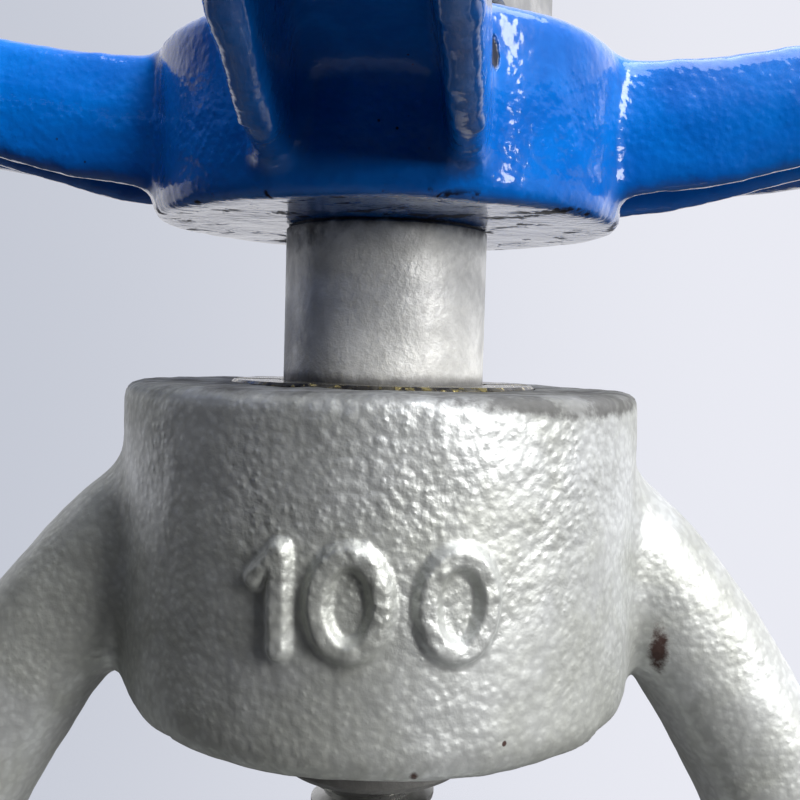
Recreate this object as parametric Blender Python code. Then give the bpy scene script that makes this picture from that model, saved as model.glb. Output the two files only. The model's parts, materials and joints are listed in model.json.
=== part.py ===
"""Knife gate valve, DN 100, rising stem, with a cast yoke and a spoked handwheel.

Run with: blender --background --python part.py
Units are metres. +Z is up the stem, the pipe runs along Y, and the origin is on the stem's axis at the
bottom of the body. The gate is closed. Turning the handwheel anticlockwise, seen from above, lifts it.
"""

import math

import bmesh
import bpy
from mathutils import Matrix, Vector

# ---------------------------------------------------------------- clearances
GAP = 0.0003                # between pieces that touch
RUN_GAP = 0.0003            # between a shaft and its bore
HOLE_CLEAR = 0.0005         # radial, between a bolt and a clearance hole
PAST = 0.010                # how far a cutting shape runs past what it cuts

# ---------------------------------------------------------------- body
BORE_R = 0.050              # nominal bore, DN 100
FLANGE_R = 0.110            # pipe flange, outside
FLANGE_HALF_T = 0.024       # half the flange, without its raised faces
RAISED_R = 0.079            # raised face
RAISED_H = 0.002
FLANGE_CHAMFER = 0.002
BOLT_CIRCLE_R = 0.090
FLANGE_HOLES = 8
FLANGE_HOLE_R = 0.007       # tapped M16
BLIND_DEPTH = 0.015         # of the two upper holes in each face, which would meet the gate's slot
CHEST_WALL = 0.008
CHEST_CORNER_R = 0.012
CHEST_INSET = 0.001         # of the chest's sides behind the flange's faces, at least
CHEST_ABOVE_BORE = 0.012    # where the chest starts
CHEST_OVERLAP = 0.003       # of the chest into the top flange
TOP_FLANGE_T = 0.018
TOP_FLANGE_RIM = 0.005      # beyond the yoke's feet, lengthwise
GUSSET_T = 0.010
GUSSET_DROP = 0.070         # below the top flange
GUSSET_ROOT = 0.004         # inside the chest's wall
GUSSET_TOE = 0.012          # width of its lower end
GUSSET_INSET = 0.010        # of its outer edge from the top flange's end
GUSSET_EDGE = 0.012         # height of its outer edge
GUSSET_OVERLAP = 0.006      # into the top flange

# ---------------------------------------------------------------- gate and seat
GATE_T = 0.006
GATE_LAND = 0.008           # beyond the bore, each side
SLOT_SIDE_CLEAR = 0.002
SLOT_FACE_CLEAR = 0.001
SLOT_OVERLAP = 0.001        # of the slot into the packing box
GATE_STEPS = 20             # sides of the gate's half-round end
GATE_STANDS_OUT = 0.028     # above the gland follower, when closed
GATE_CORNER_CUT = 0.026
OPEN_MARGIN = 0.002         # of the gate's edge above the bore, when open
SEAT_OVER_GATE = 0.0007     # of the seat ring beyond the gate's edge
SEAT_T = 0.0065

# ---------------------------------------------------------------- packing gland
PACKING_W = 0.010
PACKING_H = 0.0095
PACKING_COUNT = 3
PACKING_END_ROOM = 0.001    # more packing at the gate's edges than on its faces
PACKING_END_SHARE = 0.98    # corner radius of the packing box, as a share of its half width
PACKING_FLOOR_WALL = 0.014  # above the bolt circle
FOLLOWER_ENTRY = 0.0066     # of the follower's spigot into the body
FOLLOWER_LIFT = 0.004       # of the follower's plate above the body
FOLLOWER_T = 0.012
FOLLOWER_CORNER_R = 0.008
SPIGOT_OVERLAP = 0.004      # of the spigot into the plate
FOLLOWER_MARGIN = 0.005     # of the plate beyond the packing box, lengthwise
FOLLOWER_INSET = 0.001      # of the plate within the body's top flange, across it
GLAND_STUD_R = 0.005
GLAND_STUD_X = 0.050
GLAND_STUD_WALL = 0.008     # between a stud and the packing box
GLAND_STUD_IN = 0.0147      # into the body
GLAND_STUD_OUT = 0.008      # above its nut

# ---------------------------------------------------------------- stem and clevis
STEM_R = 0.010              # Tr 20 x 4
STEM_STANDS_OUT = 0.009     # above the stem nut, when closed
STEM_LEAD = 0.0015          # chamfer at its ends
CLEVIS_HALF_X = 0.024
CLEVIS_EAR_T = 0.011
CLEVIS_CORNER_R = 0.004
CLEVIS_DROP = 0.024         # of its ears down the gate
CLEVIS_NECK_WALL = 0.007
CLEVIS_NECK_H = 0.022       # above the gate's top edge
CLEVIS_WEB = 0.005          # between the gate's top edge and the stem's end
CLEVIS_COVER = 0.001        # of the block above the stem's end
CLEVIS_NECK_ROOT = 0.002    # where the neck starts, above the gate's top edge
CLEVIS_BOLT_R = 0.004
CLEVIS_BOLT_X = 0.013
CLEVIS_BOLT_OUT = 0.003     # beyond its nut
CLEVIS_PIN_R = 0.003
CLEVIS_PIN_PROUD = 0.001

# ---------------------------------------------------------------- yoke
BOSS_R = 0.040
BOSS_H = 0.0495
BOSS_TOP_ROUND = 0.0015
BOSS_BOTTOM_ROUND = 0.004
CLEVIS_TO_NUT = 0.0005      # left between the clevis and the stem nut, when open
ARM_W = 0.022               # in the plane of the yoke
ARM_D = 0.026               # along the pipe
ARM_ROUND = 2.6             # superellipse power of the arm's section
ARM_ROOT = (0.026, 0.014)   # centreline's start: out from the axis, down from the boss's top
ARM_SHOULDER = (0.0402, 0.0268)
ARM_SHOULDER_PULL = 0.035
ARM_FOOT_PULL = 0.080
ARM_STRAIGHT_TOP = 0.190    # below the boss's top, where the arm has become upright
ARM_SHOULDER_SLOPE = math.radians(-45.0)
ARM_INSET = 0.004           # of the upright part from the foot's middle
ARM_STEPS = 8
ARM_SIDES = 12
FOOT_BESIDE_ARM = 0.012     # of the foot's length, beyond the arm's
FOOT_BESIDE_BOLT = 0.013    # from the bolt's middle to the foot's edge
FOOT_T = 0.014
FOOT_CORNER_R = 0.006
FOOT_TO_FOLLOWER = 0.004
YOKE_BOLT_R = 0.006
YOKE_WASHER_TO_ARM = 0.0006
YOKE_BOLT_OUT = 0.004       # below its nut
WASHER_T = 0.0022

# ---------------------------------------------------------------- stem nut and its bearing
SLEEVE_WALL = 0.0059
SLEEVE_BORE_GAP = 0.0006
SLEEVE_BELOW_BOSS = 0.011
CHAMBER_ROOM = 0.0084       # radial, round the sleeve
CHAMBER_DEPTH = 0.027
THRUST_T = 0.003
THRUST_CLEAR = 0.0008       # radial, in the chamber
NUT_FLANGE_CLEAR = 0.0023
NUT_FLANGE_T = 0.010
RETAINER_PROUD = 0.0005
RETAINER_NOTCH = 0.003

# ---------------------------------------------------------------- handwheel
HUB_R = 0.0363
HUB_H = 0.0255
HUB_LIFT = 0.0247           # above the boss
HUB_SHOULDER = 0.0009       # step of the stem nut that the hub sits on
HUB_ROUND = 0.0015
WHEEL_R = 0.120
RIM_HALF_W = 0.010
RIM_HALF_H = 0.009
RIM_RISE = 0.0280           # of the rim's middle above the hub's bottom
SPOKES = 4
SPOKE_TURN = math.radians(-96.5)
SPOKE_WEB_T = 0.005
SPOKE_RIB_T = 0.006
SPOKE_ROOT = 0.004          # inside the hub's wall
RIM_SECTION_SIDES = 10
RIM_SIDES = 48
KEY_W = 0.005
KEY_IN_NUT = 0.0024
KEY_IN_HUB = 0.0025
KEY_SHORT = 0.002           # of the hub's height, at each end
KEYWAY_OVERLAP = 0.001      # of the hub's keyway into its bore
WHEEL_WASHER_W = 0.009
WHEEL_WASHER_T = 0.0025
LOCKNUT_H = 0.012
LOCKNUT_WALL = 0.007        # across its flats
NUT_ABOVE_LOCKNUT = 0.001

# stations of a spoke: (share of the way from the hub's wall to the rim's middle, underside above the
# hub's bottom, depth, half width)
SPOKE_STATIONS = (
    (0.00, 0.0038, 0.0200, 0.0150),
    (0.20, 0.0056, 0.0190, 0.0146),
    (0.35, 0.0086, 0.0180, 0.0140),
    (0.50, 0.0118, 0.0173, 0.0134),
    (0.66, 0.0152, 0.0168, 0.0128),
    (0.84, 0.0182, 0.0164, 0.0121),
    (1.00, 0.0196, 0.0150, 0.0118),
)

# ---------------------------------------------------------------- fastener proportions, by thread radius
FLATS_SHARE = 3.0
FLATS_EXTRA = 0.001
NUT_SHARE = 1.65
HEAD_SHARE = 1.3
WASHER_SHARE = 1.9

# ---------------------------------------------------------------- heights and widths worked out
BORE_Z = FLANGE_R
GATE_HALF_W = BORE_R + GATE_LAND
SEAT_R = GATE_HALF_W + SEAT_OVER_GATE
SLOT_HALF_W = GATE_HALF_W + SLOT_SIDE_CLEAR
SLOT_HALF_T = GATE_T / 2 + SLOT_FACE_CLEAR
BOX_HALF_X = SLOT_HALF_W + PACKING_W + PACKING_END_ROOM
BOX_HALF_Y = SLOT_HALF_T + PACKING_W
PACKING_FLOOR = BORE_Z + BOLT_CIRCLE_R + PACKING_FLOOR_WALL
PACKING_TOP = PACKING_FLOOR + PACKING_COUNT * (PACKING_H + GAP)
BODY_TOP = PACKING_TOP + FOLLOWER_ENTRY
FOLLOWER_TOP = BODY_TOP + FOLLOWER_LIFT + FOLLOWER_T
FOLLOWER_HALF_X = BOX_HALF_X + FOLLOWER_MARGIN
GLAND_STUD_Y = BOX_HALF_Y + GLAND_STUD_WALL + GLAND_STUD_R
YOKE_WASHER_R = WASHER_SHARE * YOKE_BOLT_R
YOKE_BOLT_Y = ARM_D / 2 + YOKE_WASHER_R + YOKE_WASHER_TO_ARM
FOOT_X = ARM_W + FOOT_BESIDE_ARM
FOOT_Y = 2 * (YOKE_BOLT_Y + FOOT_BESIDE_BOLT)
FOLLOWER_HALF_Y = FOOT_Y / 2 - FOLLOWER_INSET
CLEVIS_HALF_Y = GATE_T / 2 + CLEVIS_EAR_T
CLEVIS_NECK_R = STEM_R + CLEVIS_NECK_WALL
SLEEVE_R = STEM_R + SLEEVE_WALL
CHAMBER_R = SLEEVE_R + CHAMBER_ROOM
THRUST_R = CHAMBER_R - THRUST_CLEAR
NUT_FLANGE_R = CHAMBER_R - NUT_FLANGE_CLEAR
HUB_SEAT_R = SLEEVE_R - HUB_SHOULDER
WHEEL_WASHER_R = HUB_SEAT_R + WHEEL_WASHER_W
LOCKNUT_FLATS = 2 * (HUB_SEAT_R + LOCKNUT_WALL)
GATE_TOP = FOLLOWER_TOP + GATE_STANDS_OUT
TRAVEL = BORE_R + GATE_HALF_W + OPEN_MARGIN
CLEVIS_BOLT_Z = GATE_TOP - CLEVIS_DROP / 2
CLEVIS_TOP = GATE_TOP + CLEVIS_NECK_H
STEM_BOTTOM = GATE_TOP + CLEVIS_WEB
CLEVIS_PIN_Z = (STEM_BOTTOM + CLEVIS_TOP) / 2
NUT_BOTTOM = CLEVIS_TOP + TRAVEL + CLEVIS_TO_NUT
BOSS_BOTTOM = NUT_BOTTOM + SLEEVE_BELOW_BOSS
BOSS_TOP = BOSS_BOTTOM + BOSS_H
CHAMBER_FLOOR = BOSS_TOP - CHAMBER_DEPTH
NUT_FLANGE_Z = CHAMBER_FLOOR + THRUST_T + 2 * GAP
UPPER_THRUST_Z = NUT_FLANGE_Z + NUT_FLANGE_T + GAP
RETAINER_Z = UPPER_THRUST_Z + THRUST_T + GAP
HUB_BOTTOM = BOSS_TOP + HUB_LIFT
HUB_TOP = HUB_BOTTOM + HUB_H
WHEEL_WASHER_Z = HUB_TOP + GAP
LOCKNUT_Z = WHEEL_WASHER_Z + WHEEL_WASHER_T + GAP
NUT_TOP = LOCKNUT_Z + LOCKNUT_H + NUT_ABOVE_LOCKNUT
STEM_TOP = NUT_TOP + STEM_STANDS_OUT
RIM_Z = HUB_BOTTOM + RIM_RISE
RIM_MIDDLE_R = WHEEL_R - RIM_HALF_W
FOOT_INNER_X = FOLLOWER_HALF_X + FOOT_TO_FOLLOWER
FOOT_MIDDLE_X = FOOT_INNER_X + FOOT_X / 2
FOOT_BOTTOM = BODY_TOP + GAP
FOOT_TOP = FOOT_BOTTOM + FOOT_T
TOP_FLANGE_HALF_X = FOOT_INNER_X + FOOT_X + TOP_FLANGE_RIM
TOP_FLANGE_HALF_Y = FOOT_Y / 2
TOP_FLANGE_UNDER = BODY_TOP - TOP_FLANGE_T

ROUND = 40                  # sides of a large turned piece
STEM_ROUND = 24             # sides of the stem
DISC_ROUND = 64             # sides of the flange and the seat
SMALL_ROUND = 12            # sides of a bolt's shank

Z_TO_Y = Matrix.Rotation(math.radians(90.0), 4, "X")


# ---------------------------------------------------------------- materials
def finish(name, colour, metallic, roughness):
    """A Principled material, made once."""
    found = bpy.data.materials.get(name)
    if found:
        return found
    mat = bpy.data.materials.new(name)
    mat.use_nodes = True
    shader = mat.node_tree.nodes["Principled BSDF"]
    shader.inputs["Base Color"].default_value = (*colour, 1.0)
    shader.inputs["Metallic"].default_value = metallic
    shader.inputs["Roughness"].default_value = roughness
    mat.diffuse_color = (*colour, 1.0)
    return mat


def silver_paint():
    return finish("silver_painted_casting", (0.55, 0.56, 0.54), 0.6, 0.38)


def blue_enamel():
    return finish("blue_enamel", (0.005, 0.12, 0.62), 0.0, 0.15)


def machined_steel():
    return finish("machined_steel", (0.56, 0.56, 0.55), 1.0, 0.35)


def stainless():
    return finish("stainless_plate", (0.62, 0.62, 0.60), 1.0, 0.28)


def zinc_plate():
    return finish("zinc_plated_steel", (0.66, 0.67, 0.66), 1.0, 0.3)


def bronze():
    return finish("bronze", (0.55, 0.36, 0.16), 1.0, 0.35)


def seat_rubber():
    return finish("seat_rubber", (0.02, 0.02, 0.02), 0.0, 0.6)


def packing_braid():
    return finish("packing_braid", (0.08, 0.08, 0.075), 0.1, 0.7)


# ---------------------------------------------------------------- mesh helpers
def remove_everything():
    for obj in list(bpy.data.objects):
        bpy.data.objects.remove(obj, do_unlink=True)


def make_object(name, bm, material, pivot=(0.0, 0.0, 0.0), cutter=False):
    """Turns a bmesh into a named object, with its origin at the pivot."""
    bmesh.ops.remove_doubles(bm, verts=bm.verts, dist=1e-7)
    bmesh.ops.recalc_face_normals(bm, faces=bm.faces)
    mesh = bpy.data.meshes.new(name)
    bm.to_mesh(mesh)
    bm.free()
    mesh.transform(Matrix.Translation(-Vector(pivot)))
    mesh.shade_smooth()
    mesh.set_sharp_from_angle(angle=math.radians(35.0))
    obj = bpy.data.objects.new(name, mesh)
    obj.location = pivot
    bpy.context.scene.collection.objects.link(obj)
    if cutter:
        obj.hide_render = True
        obj.display_type = "WIRE"
    else:
        mesh.materials.append(material)
    return obj


def combine(obj, other, operation):
    """Adds or cuts another object, which is then only a guide."""
    other.hide_render = True
    other.display_type = "WIRE"
    modifier = obj.modifiers.new(f"{operation.lower()}_{other.name}", "BOOLEAN")
    modifier.operation = operation
    modifier.solver = "EXACT"
    modifier.object = other


def turn(bm, profile, sides=ROUND, ring=True, matrix=None):
    """Spins an outline of (radius, height) points about Z. A ring's outline closes on itself."""
    verts = [bm.verts.new((radius, 0.0, height)) for radius, height in profile]
    edges = [bm.edges.new(pair) for pair in zip(verts, verts[1:])]
    if ring:
        edges.append(bm.edges.new((verts[-1], verts[0])))
    made = bmesh.ops.spin(bm, geom=verts + edges, cent=(0, 0, 0), axis=(0, 0, 1),
                          angle=2 * math.pi, steps=sides, use_merge=True)
    new = {v for v in made["geom_last"] if isinstance(v, bmesh.types.BMVert)}
    island = linked(list(new) + verts)
    bmesh.ops.remove_doubles(bm, verts=island, dist=1e-7)
    if matrix is not None:
        island = [v for v in island if v.is_valid]
        bmesh.ops.transform(bm, matrix=matrix, verts=island)


def linked(seeds):
    """Every vertex joined by edges to the seeds."""
    seen = set(seeds)
    stack = list(seeds)
    while stack:
        for edge in stack.pop().link_edges:
            for vert in edge.verts:
                if vert not in seen:
                    seen.add(vert)
                    stack.append(vert)
    return list(seen)


def prism(bm, outline, low, high, matrix=None):
    """Extrudes an outline of (x, y) points from one height to the other."""
    bottom = [bm.verts.new((x, y, low)) for x, y in outline]
    face = bm.faces.new(bottom)
    made = bmesh.ops.extrude_face_region(bm, geom=[face])
    top = [v for v in made["geom"] if isinstance(v, bmesh.types.BMVert)]
    bmesh.ops.translate(bm, vec=(0, 0, high - low), verts=top)
    if matrix is not None:
        bmesh.ops.transform(bm, matrix=matrix, verts=bottom + top)


def loft(bm, rings):
    """Joins rings of equally many points and closes both ends."""
    rows = [[bm.verts.new(p) for p in ring] for ring in rings]
    count = len(rows[0])
    for row, following in zip(rows, rows[1:]):
        for i in range(count):
            j = (i + 1) % count
            bm.faces.new((row[i], row[j], following[j], following[i]))
    bm.faces.new(rows[0])
    bm.faces.new(rows[-1])


def round_box(half_x, half_y, radius, steps=3):
    """Outline of a rectangle with round corners."""
    points = []
    for quarter, (sx, sy) in enumerate(((1, 1), (-1, 1), (-1, -1), (1, -1))):
        for i in range(steps + 1):
            a = math.radians(90.0) * (quarter + i / steps)
            x = sx * (half_x - radius) + radius * math.cos(a)
            y = sy * (half_y - radius) + radius * math.sin(a)
            points.append((x, y))
    return points


def box_ends(half_x, half_y):
    """Outline of the packing box, with nearly half-round ends."""
    return round_box(half_x, half_y, half_y * PACKING_END_SHARE, steps=6)


def box_outline(half_x, half_y):
    return [(half_x, half_y), (-half_x, half_y), (-half_x, -half_y), (half_x, -half_y)]


def circle(radius, sides=SMALL_ROUND):
    return [(radius * math.cos(2 * math.pi * i / sides), radius * math.sin(2 * math.pi * i / sides))
            for i in range(sides)]


def hex_flats(radius):
    """Width across the flats of a nut or head for a bolt of this radius."""
    return FLATS_SHARE * radius + FLATS_EXTRA


def nut_height(radius):
    return NUT_SHARE * radius


def head_height(radius):
    return HEAD_SHARE * radius


def hexagon(flats):
    corner = flats / math.sqrt(3.0)
    return [(corner * math.cos(math.radians(60.0 * i)), corner * math.sin(math.radians(60.0 * i)))
            for i in range(6)]


def at(x, y, z=0.0):
    return Matrix.Translation((x, y, z))


def hole_cutter(name, places, radius, low, high, flip=None):
    """One guide with a round hole at each (x, y) place. flip turns it from Z to another axis."""
    bm = bmesh.new()
    for x, y in places:
        prism(bm, circle(radius), low, high, at(x, y))
    if flip is not None:
        bmesh.ops.transform(bm, matrix=flip, verts=bm.verts)
    return make_object(name, bm, None, cutter=True)


def corners(x, y):
    return [(-x, -y), (x, -y), (x, y), (-x, y)]


# ---------------------------------------------------------------- body
def gate_outline(half_width, top, corner_cut=0.0):
    """Outline (x, z) of a plate with a half-round lower end about the bore's axis."""
    points = []
    for i in range(GATE_STEPS + 1):
        a = math.pi * (1.0 + i / GATE_STEPS)
        points.append((half_width * math.cos(a), BORE_Z + half_width * math.sin(a)))
    if corner_cut:
        points += [(half_width, top - corner_cut), (half_width - corner_cut, top),
                   (corner_cut - half_width, top), (-half_width, top - corner_cut)]
    else:
        points += [(half_width, top), (-half_width, top)]
    return points


def flange_disc(name, seat_bore):
    """The round part between the pipe flanges, turned about the pipe's axis, with its raised faces."""
    face = FLANGE_HALF_T + RAISED_H
    edge = FLANGE_R - FLANGE_CHAMFER
    # heights here run along -Y once turned, so the seat's counterbore is at the positive end
    profile = [
        (BORE_R, -face), (RAISED_R, -face), (RAISED_R, -FLANGE_HALF_T), (edge, -FLANGE_HALF_T),
        (FLANGE_R, -FLANGE_HALF_T + FLANGE_CHAMFER), (FLANGE_R, FLANGE_HALF_T - FLANGE_CHAMFER),
        (edge, FLANGE_HALF_T), (RAISED_R, FLANGE_HALF_T), (RAISED_R, face), (seat_bore, face),
        (seat_bore, 0.0), (BORE_R, 0.0),
    ]
    bm = bmesh.new()
    turn(bm, profile, sides=DISC_ROUND, matrix=at(0, 0, BORE_Z) @ Z_TO_Y)
    return make_object(name, bm, silver_paint())


def valve_body():
    seat_bore = SEAT_R + GAP
    body = flange_disc("valve_body", seat_bore)

    bm = bmesh.new()
    chest_half_y = min(BOX_HALF_Y + CHEST_WALL, FLANGE_HALF_T - CHEST_INSET)
    prism(bm, round_box(BOX_HALF_X + CHEST_WALL, chest_half_y, CHEST_CORNER_R),
          BORE_Z + BORE_R + CHEST_ABOVE_BORE, TOP_FLANGE_UNDER + CHEST_OVERLAP)
    combine(body, make_object("guide_chest", bm, None, cutter=True), "UNION")

    bm = bmesh.new()
    gusset_x = BOX_HALF_X + CHEST_WALL - GUSSET_ROOT
    gusset_out = TOP_FLANGE_HALF_X - GUSSET_INSET
    low = TOP_FLANGE_UNDER - GUSSET_DROP
    high = TOP_FLANGE_UNDER + GUSSET_OVERLAP
    for side in (-1, 1):
        outline = [(side * gusset_x, low), (side * (gusset_x + GUSSET_TOE), low),
                   (side * gusset_out, TOP_FLANGE_UNDER - GUSSET_EDGE), (side * gusset_out, high),
                   (side * gusset_x, high)]
        prism(bm, outline, -GUSSET_T / 2, GUSSET_T / 2, Z_TO_Y)
    combine(body, make_object("guide_gussets", bm, None, cutter=True), "UNION")

    bm = bmesh.new()
    prism(bm, round_box(TOP_FLANGE_HALF_X, TOP_FLANGE_HALF_Y, FOOT_CORNER_R), TOP_FLANGE_UNDER, BODY_TOP)
    combine(body, make_object("guide_top_flange", bm, None, cutter=True), "UNION")

    bm = bmesh.new()
    prism(bm, gate_outline(SLOT_HALF_W, PACKING_FLOOR + SLOT_OVERLAP), -SLOT_HALF_T, SLOT_HALF_T, Z_TO_Y)
    combine(body, make_object("cut_gate_slot", bm, None, cutter=True), "DIFFERENCE")

    bm = bmesh.new()
    prism(bm, box_ends(BOX_HALF_X, BOX_HALF_Y), PACKING_FLOOR, BODY_TOP + PAST)
    combine(body, make_object("cut_packing_box", bm, None, cutter=True), "DIFFERENCE")

    through, blind = [], []
    for i in range(FLANGE_HOLES):
        a = 2 * math.pi * (i + 0.5) / FLANGE_HOLES
        place = (BOLT_CIRCLE_R * math.cos(a), -BORE_Z - BOLT_CIRCLE_R * math.sin(a))
        upper = abs(place[0]) < SLOT_HALF_W + FLANGE_HOLE_R and math.sin(a) > 0
        (blind if upper else through).append(place)
    reach = FLANGE_HALF_T + PAST
    flip = Matrix.Rotation(math.radians(-90.0), 4, "X")
    combine(body, hole_cutter("cut_through_holes", through, FLANGE_HOLE_R, -reach, reach, flip),
            "DIFFERENCE")
    for name, low, high in (("cut_blind_front", -reach, BLIND_DEPTH - FLANGE_HALF_T),
                            ("cut_blind_back", FLANGE_HALF_T - BLIND_DEPTH, reach)):
        combine(body, hole_cutter(name, blind, FLANGE_HOLE_R, low, high, flip), "DIFFERENCE")

    studs = corners(GLAND_STUD_X, GLAND_STUD_Y)
    combine(body, hole_cutter("cut_gland_studs", studs, GLAND_STUD_R + GAP,
                              BODY_TOP - GLAND_STUD_IN - GAP, BODY_TOP + PAST), "DIFFERENCE")
    bolts = corners(FOOT_MIDDLE_X, YOKE_BOLT_Y)
    combine(body, hole_cutter("cut_yoke_bolts", bolts, YOKE_BOLT_R + HOLE_CLEAR,
                              TOP_FLANGE_UNDER - PAST, BODY_TOP + PAST), "DIFFERENCE")


def seat():
    """A rubber ring that the gate closes on, held in the body by a steel ring."""
    near = GATE_T / 2 + GAP
    for name, low, high, material in (
            ("seat_ring", near, near + SEAT_T, seat_rubber()),
            ("seat_retainer_ring", near + SEAT_T + GAP, FLANGE_HALF_T + RAISED_H, stainless())):
        bm = bmesh.new()
        turn(bm, [(BORE_R, low), (SEAT_R, low), (SEAT_R, high), (BORE_R, high)],
             sides=DISC_ROUND, matrix=at(0, 0, BORE_Z) @ Z_TO_Y)
        make_object(name, bm, material, pivot=(0, 0, BORE_Z))


# ---------------------------------------------------------------- gland
def gate_window(name, low, high):
    """The slot through which the gate passes a ring or the follower."""
    bm = bmesh.new()
    prism(bm, box_outline(GATE_HALF_W + RUN_GAP, GATE_T / 2 + RUN_GAP), low, high)
    return make_object(name, bm, None, cutter=True)


def packing():
    for i in range(PACKING_COUNT):
        low = PACKING_FLOOR + GAP + i * (PACKING_H + GAP)
        bm = bmesh.new()
        prism(bm, box_ends(BOX_HALF_X - GAP, BOX_HALF_Y - GAP), low, low + PACKING_H)
        ring = make_object(f"packing_ring_{i + 1}", bm, packing_braid())
        combine(ring, gate_window(f"cut_packing_{i + 1}", low - PAST, low + PACKING_H + PAST), "DIFFERENCE")


def gland_follower():
    bm = bmesh.new()
    under = BODY_TOP + FOLLOWER_LIFT
    prism(bm, round_box(FOLLOWER_HALF_X, FOLLOWER_HALF_Y, FOLLOWER_CORNER_R), under, FOLLOWER_TOP)
    follower = make_object("gland_follower", bm, silver_paint())
    bm = bmesh.new()
    prism(bm, box_ends(BOX_HALF_X - GAP, BOX_HALF_Y - GAP), PACKING_TOP + GAP, under + SPIGOT_OVERLAP)
    combine(follower, make_object("guide_spigot", bm, None, cutter=True), "UNION")
    combine(follower, gate_window("cut_follower", PACKING_TOP - PAST, FOLLOWER_TOP + PAST), "DIFFERENCE")
    combine(follower, hole_cutter("cut_follower_studs", corners(GLAND_STUD_X, GLAND_STUD_Y),
                                  GLAND_STUD_R + HOLE_CLEAR, under - PAST, FOLLOWER_TOP + PAST),
            "DIFFERENCE")


# ---------------------------------------------------------------- fasteners
def nut(name, radius, place, low, flats=None, height=None, material=None, matrix=None, sides=SMALL_ROUND):
    """A hexagon nut with its lower face at the height given, and as many sides in its bore as its bolt."""
    flats = flats or hex_flats(radius)
    height = height or nut_height(radius)
    bm = bmesh.new()
    prism(bm, hexagon(flats), low, low + height)
    if matrix is not None:
        bmesh.ops.transform(bm, matrix=matrix, verts=bm.verts)
    obj = make_object(name, bm, material or zinc_plate(), pivot=place)
    hole = bmesh.new()
    prism(hole, circle(radius + GAP, sides), low - PAST, low + height + PAST)
    if matrix is not None:
        bmesh.ops.transform(hole, matrix=matrix, verts=hole.verts)
    cutter = make_object(f"cut_{name}", hole, None, pivot=place, cutter=True)
    combine(obj, cutter, "DIFFERENCE")
    for each in (obj, cutter):
        for vert in each.data.vertices:
            vert.co += Vector(place)
    return obj


def washer(name, inner, outer, low, thickness, x=0.0, y=0.0, sides=16, material=None):
    bm = bmesh.new()
    turn(bm, [(inner, low), (outer, low), (outer, low + thickness), (inner, low + thickness)],
         sides=sides, matrix=at(x, y))
    return make_object(name, bm, material or zinc_plate(), pivot=(x, y, low))


def stud(name, radius, low, high, x, y, material=None):
    bm = bmesh.new()
    prism(bm, circle(radius), low, high, at(x, y))
    return make_object(name, bm, material or zinc_plate(), pivot=(x, y, low))


def bolt(name, radius, head_under, end, matrix):
    """A hexagon-head bolt that points down its own -Z from under its head to its end."""
    bm = bmesh.new()
    prism(bm, hexagon(hex_flats(radius)), head_under, head_under + head_height(radius))
    obj = make_object(name, bm, zinc_plate())
    shank = bmesh.new()
    prism(shank, circle(radius), end, head_under + head_height(radius) / 2)
    guide = make_object(f"guide_{name}", shank, None, cutter=True)
    combine(obj, guide, "UNION")
    for each in (obj, guide):
        each.data.transform(matrix)
    return obj


def gland_fasteners():
    for i, (x, y) in enumerate(corners(GLAND_STUD_X, GLAND_STUD_Y), start=1):
        nut_low = FOLLOWER_TOP + GAP
        top = nut_low + nut_height(GLAND_STUD_R) + GLAND_STUD_OUT
        stud(f"gland_stud_{i}", GLAND_STUD_R, BODY_TOP - GLAND_STUD_IN, top, x, y)
        nut(f"gland_nut_{i}", GLAND_STUD_R, (x, y, 0.0), nut_low)


def yoke_fasteners():
    for i, (x, y) in enumerate(corners(FOOT_MIDDLE_X, YOKE_BOLT_Y), start=1):
        washer_low = FOOT_TOP + GAP
        washer(f"yoke_washer_{i}", YOKE_BOLT_R + HOLE_CLEAR, YOKE_WASHER_R, washer_low, WASHER_T, x, y)
        head_under = washer_low + WASHER_T + GAP
        nut_low = TOP_FLANGE_UNDER - GAP - nut_height(YOKE_BOLT_R)
        bolt(f"yoke_bolt_{i}", YOKE_BOLT_R, head_under, nut_low - YOKE_BOLT_OUT, at(x, y))
        nut(f"yoke_nut_{i}", YOKE_BOLT_R, (x, y, 0.0), nut_low)


# ---------------------------------------------------------------- gate, clevis and stem
def gate_plate():
    bm = bmesh.new()
    prism(bm, gate_outline(GATE_HALF_W, GATE_TOP, GATE_CORNER_CUT), -GATE_T / 2, GATE_T / 2, Z_TO_Y)
    gate = make_object("gate_plate", bm, stainless())
    places = [(side * CLEVIS_BOLT_X, -CLEVIS_BOLT_Z) for side in (-1, 1)]
    flip = Matrix.Rotation(math.radians(-90.0), 4, "X")
    combine(gate, hole_cutter("cut_gate_bolts", places, CLEVIS_BOLT_R + HOLE_CLEAR, -GATE_T - PAST,
                              GATE_T + PAST, flip), "DIFFERENCE")


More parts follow.
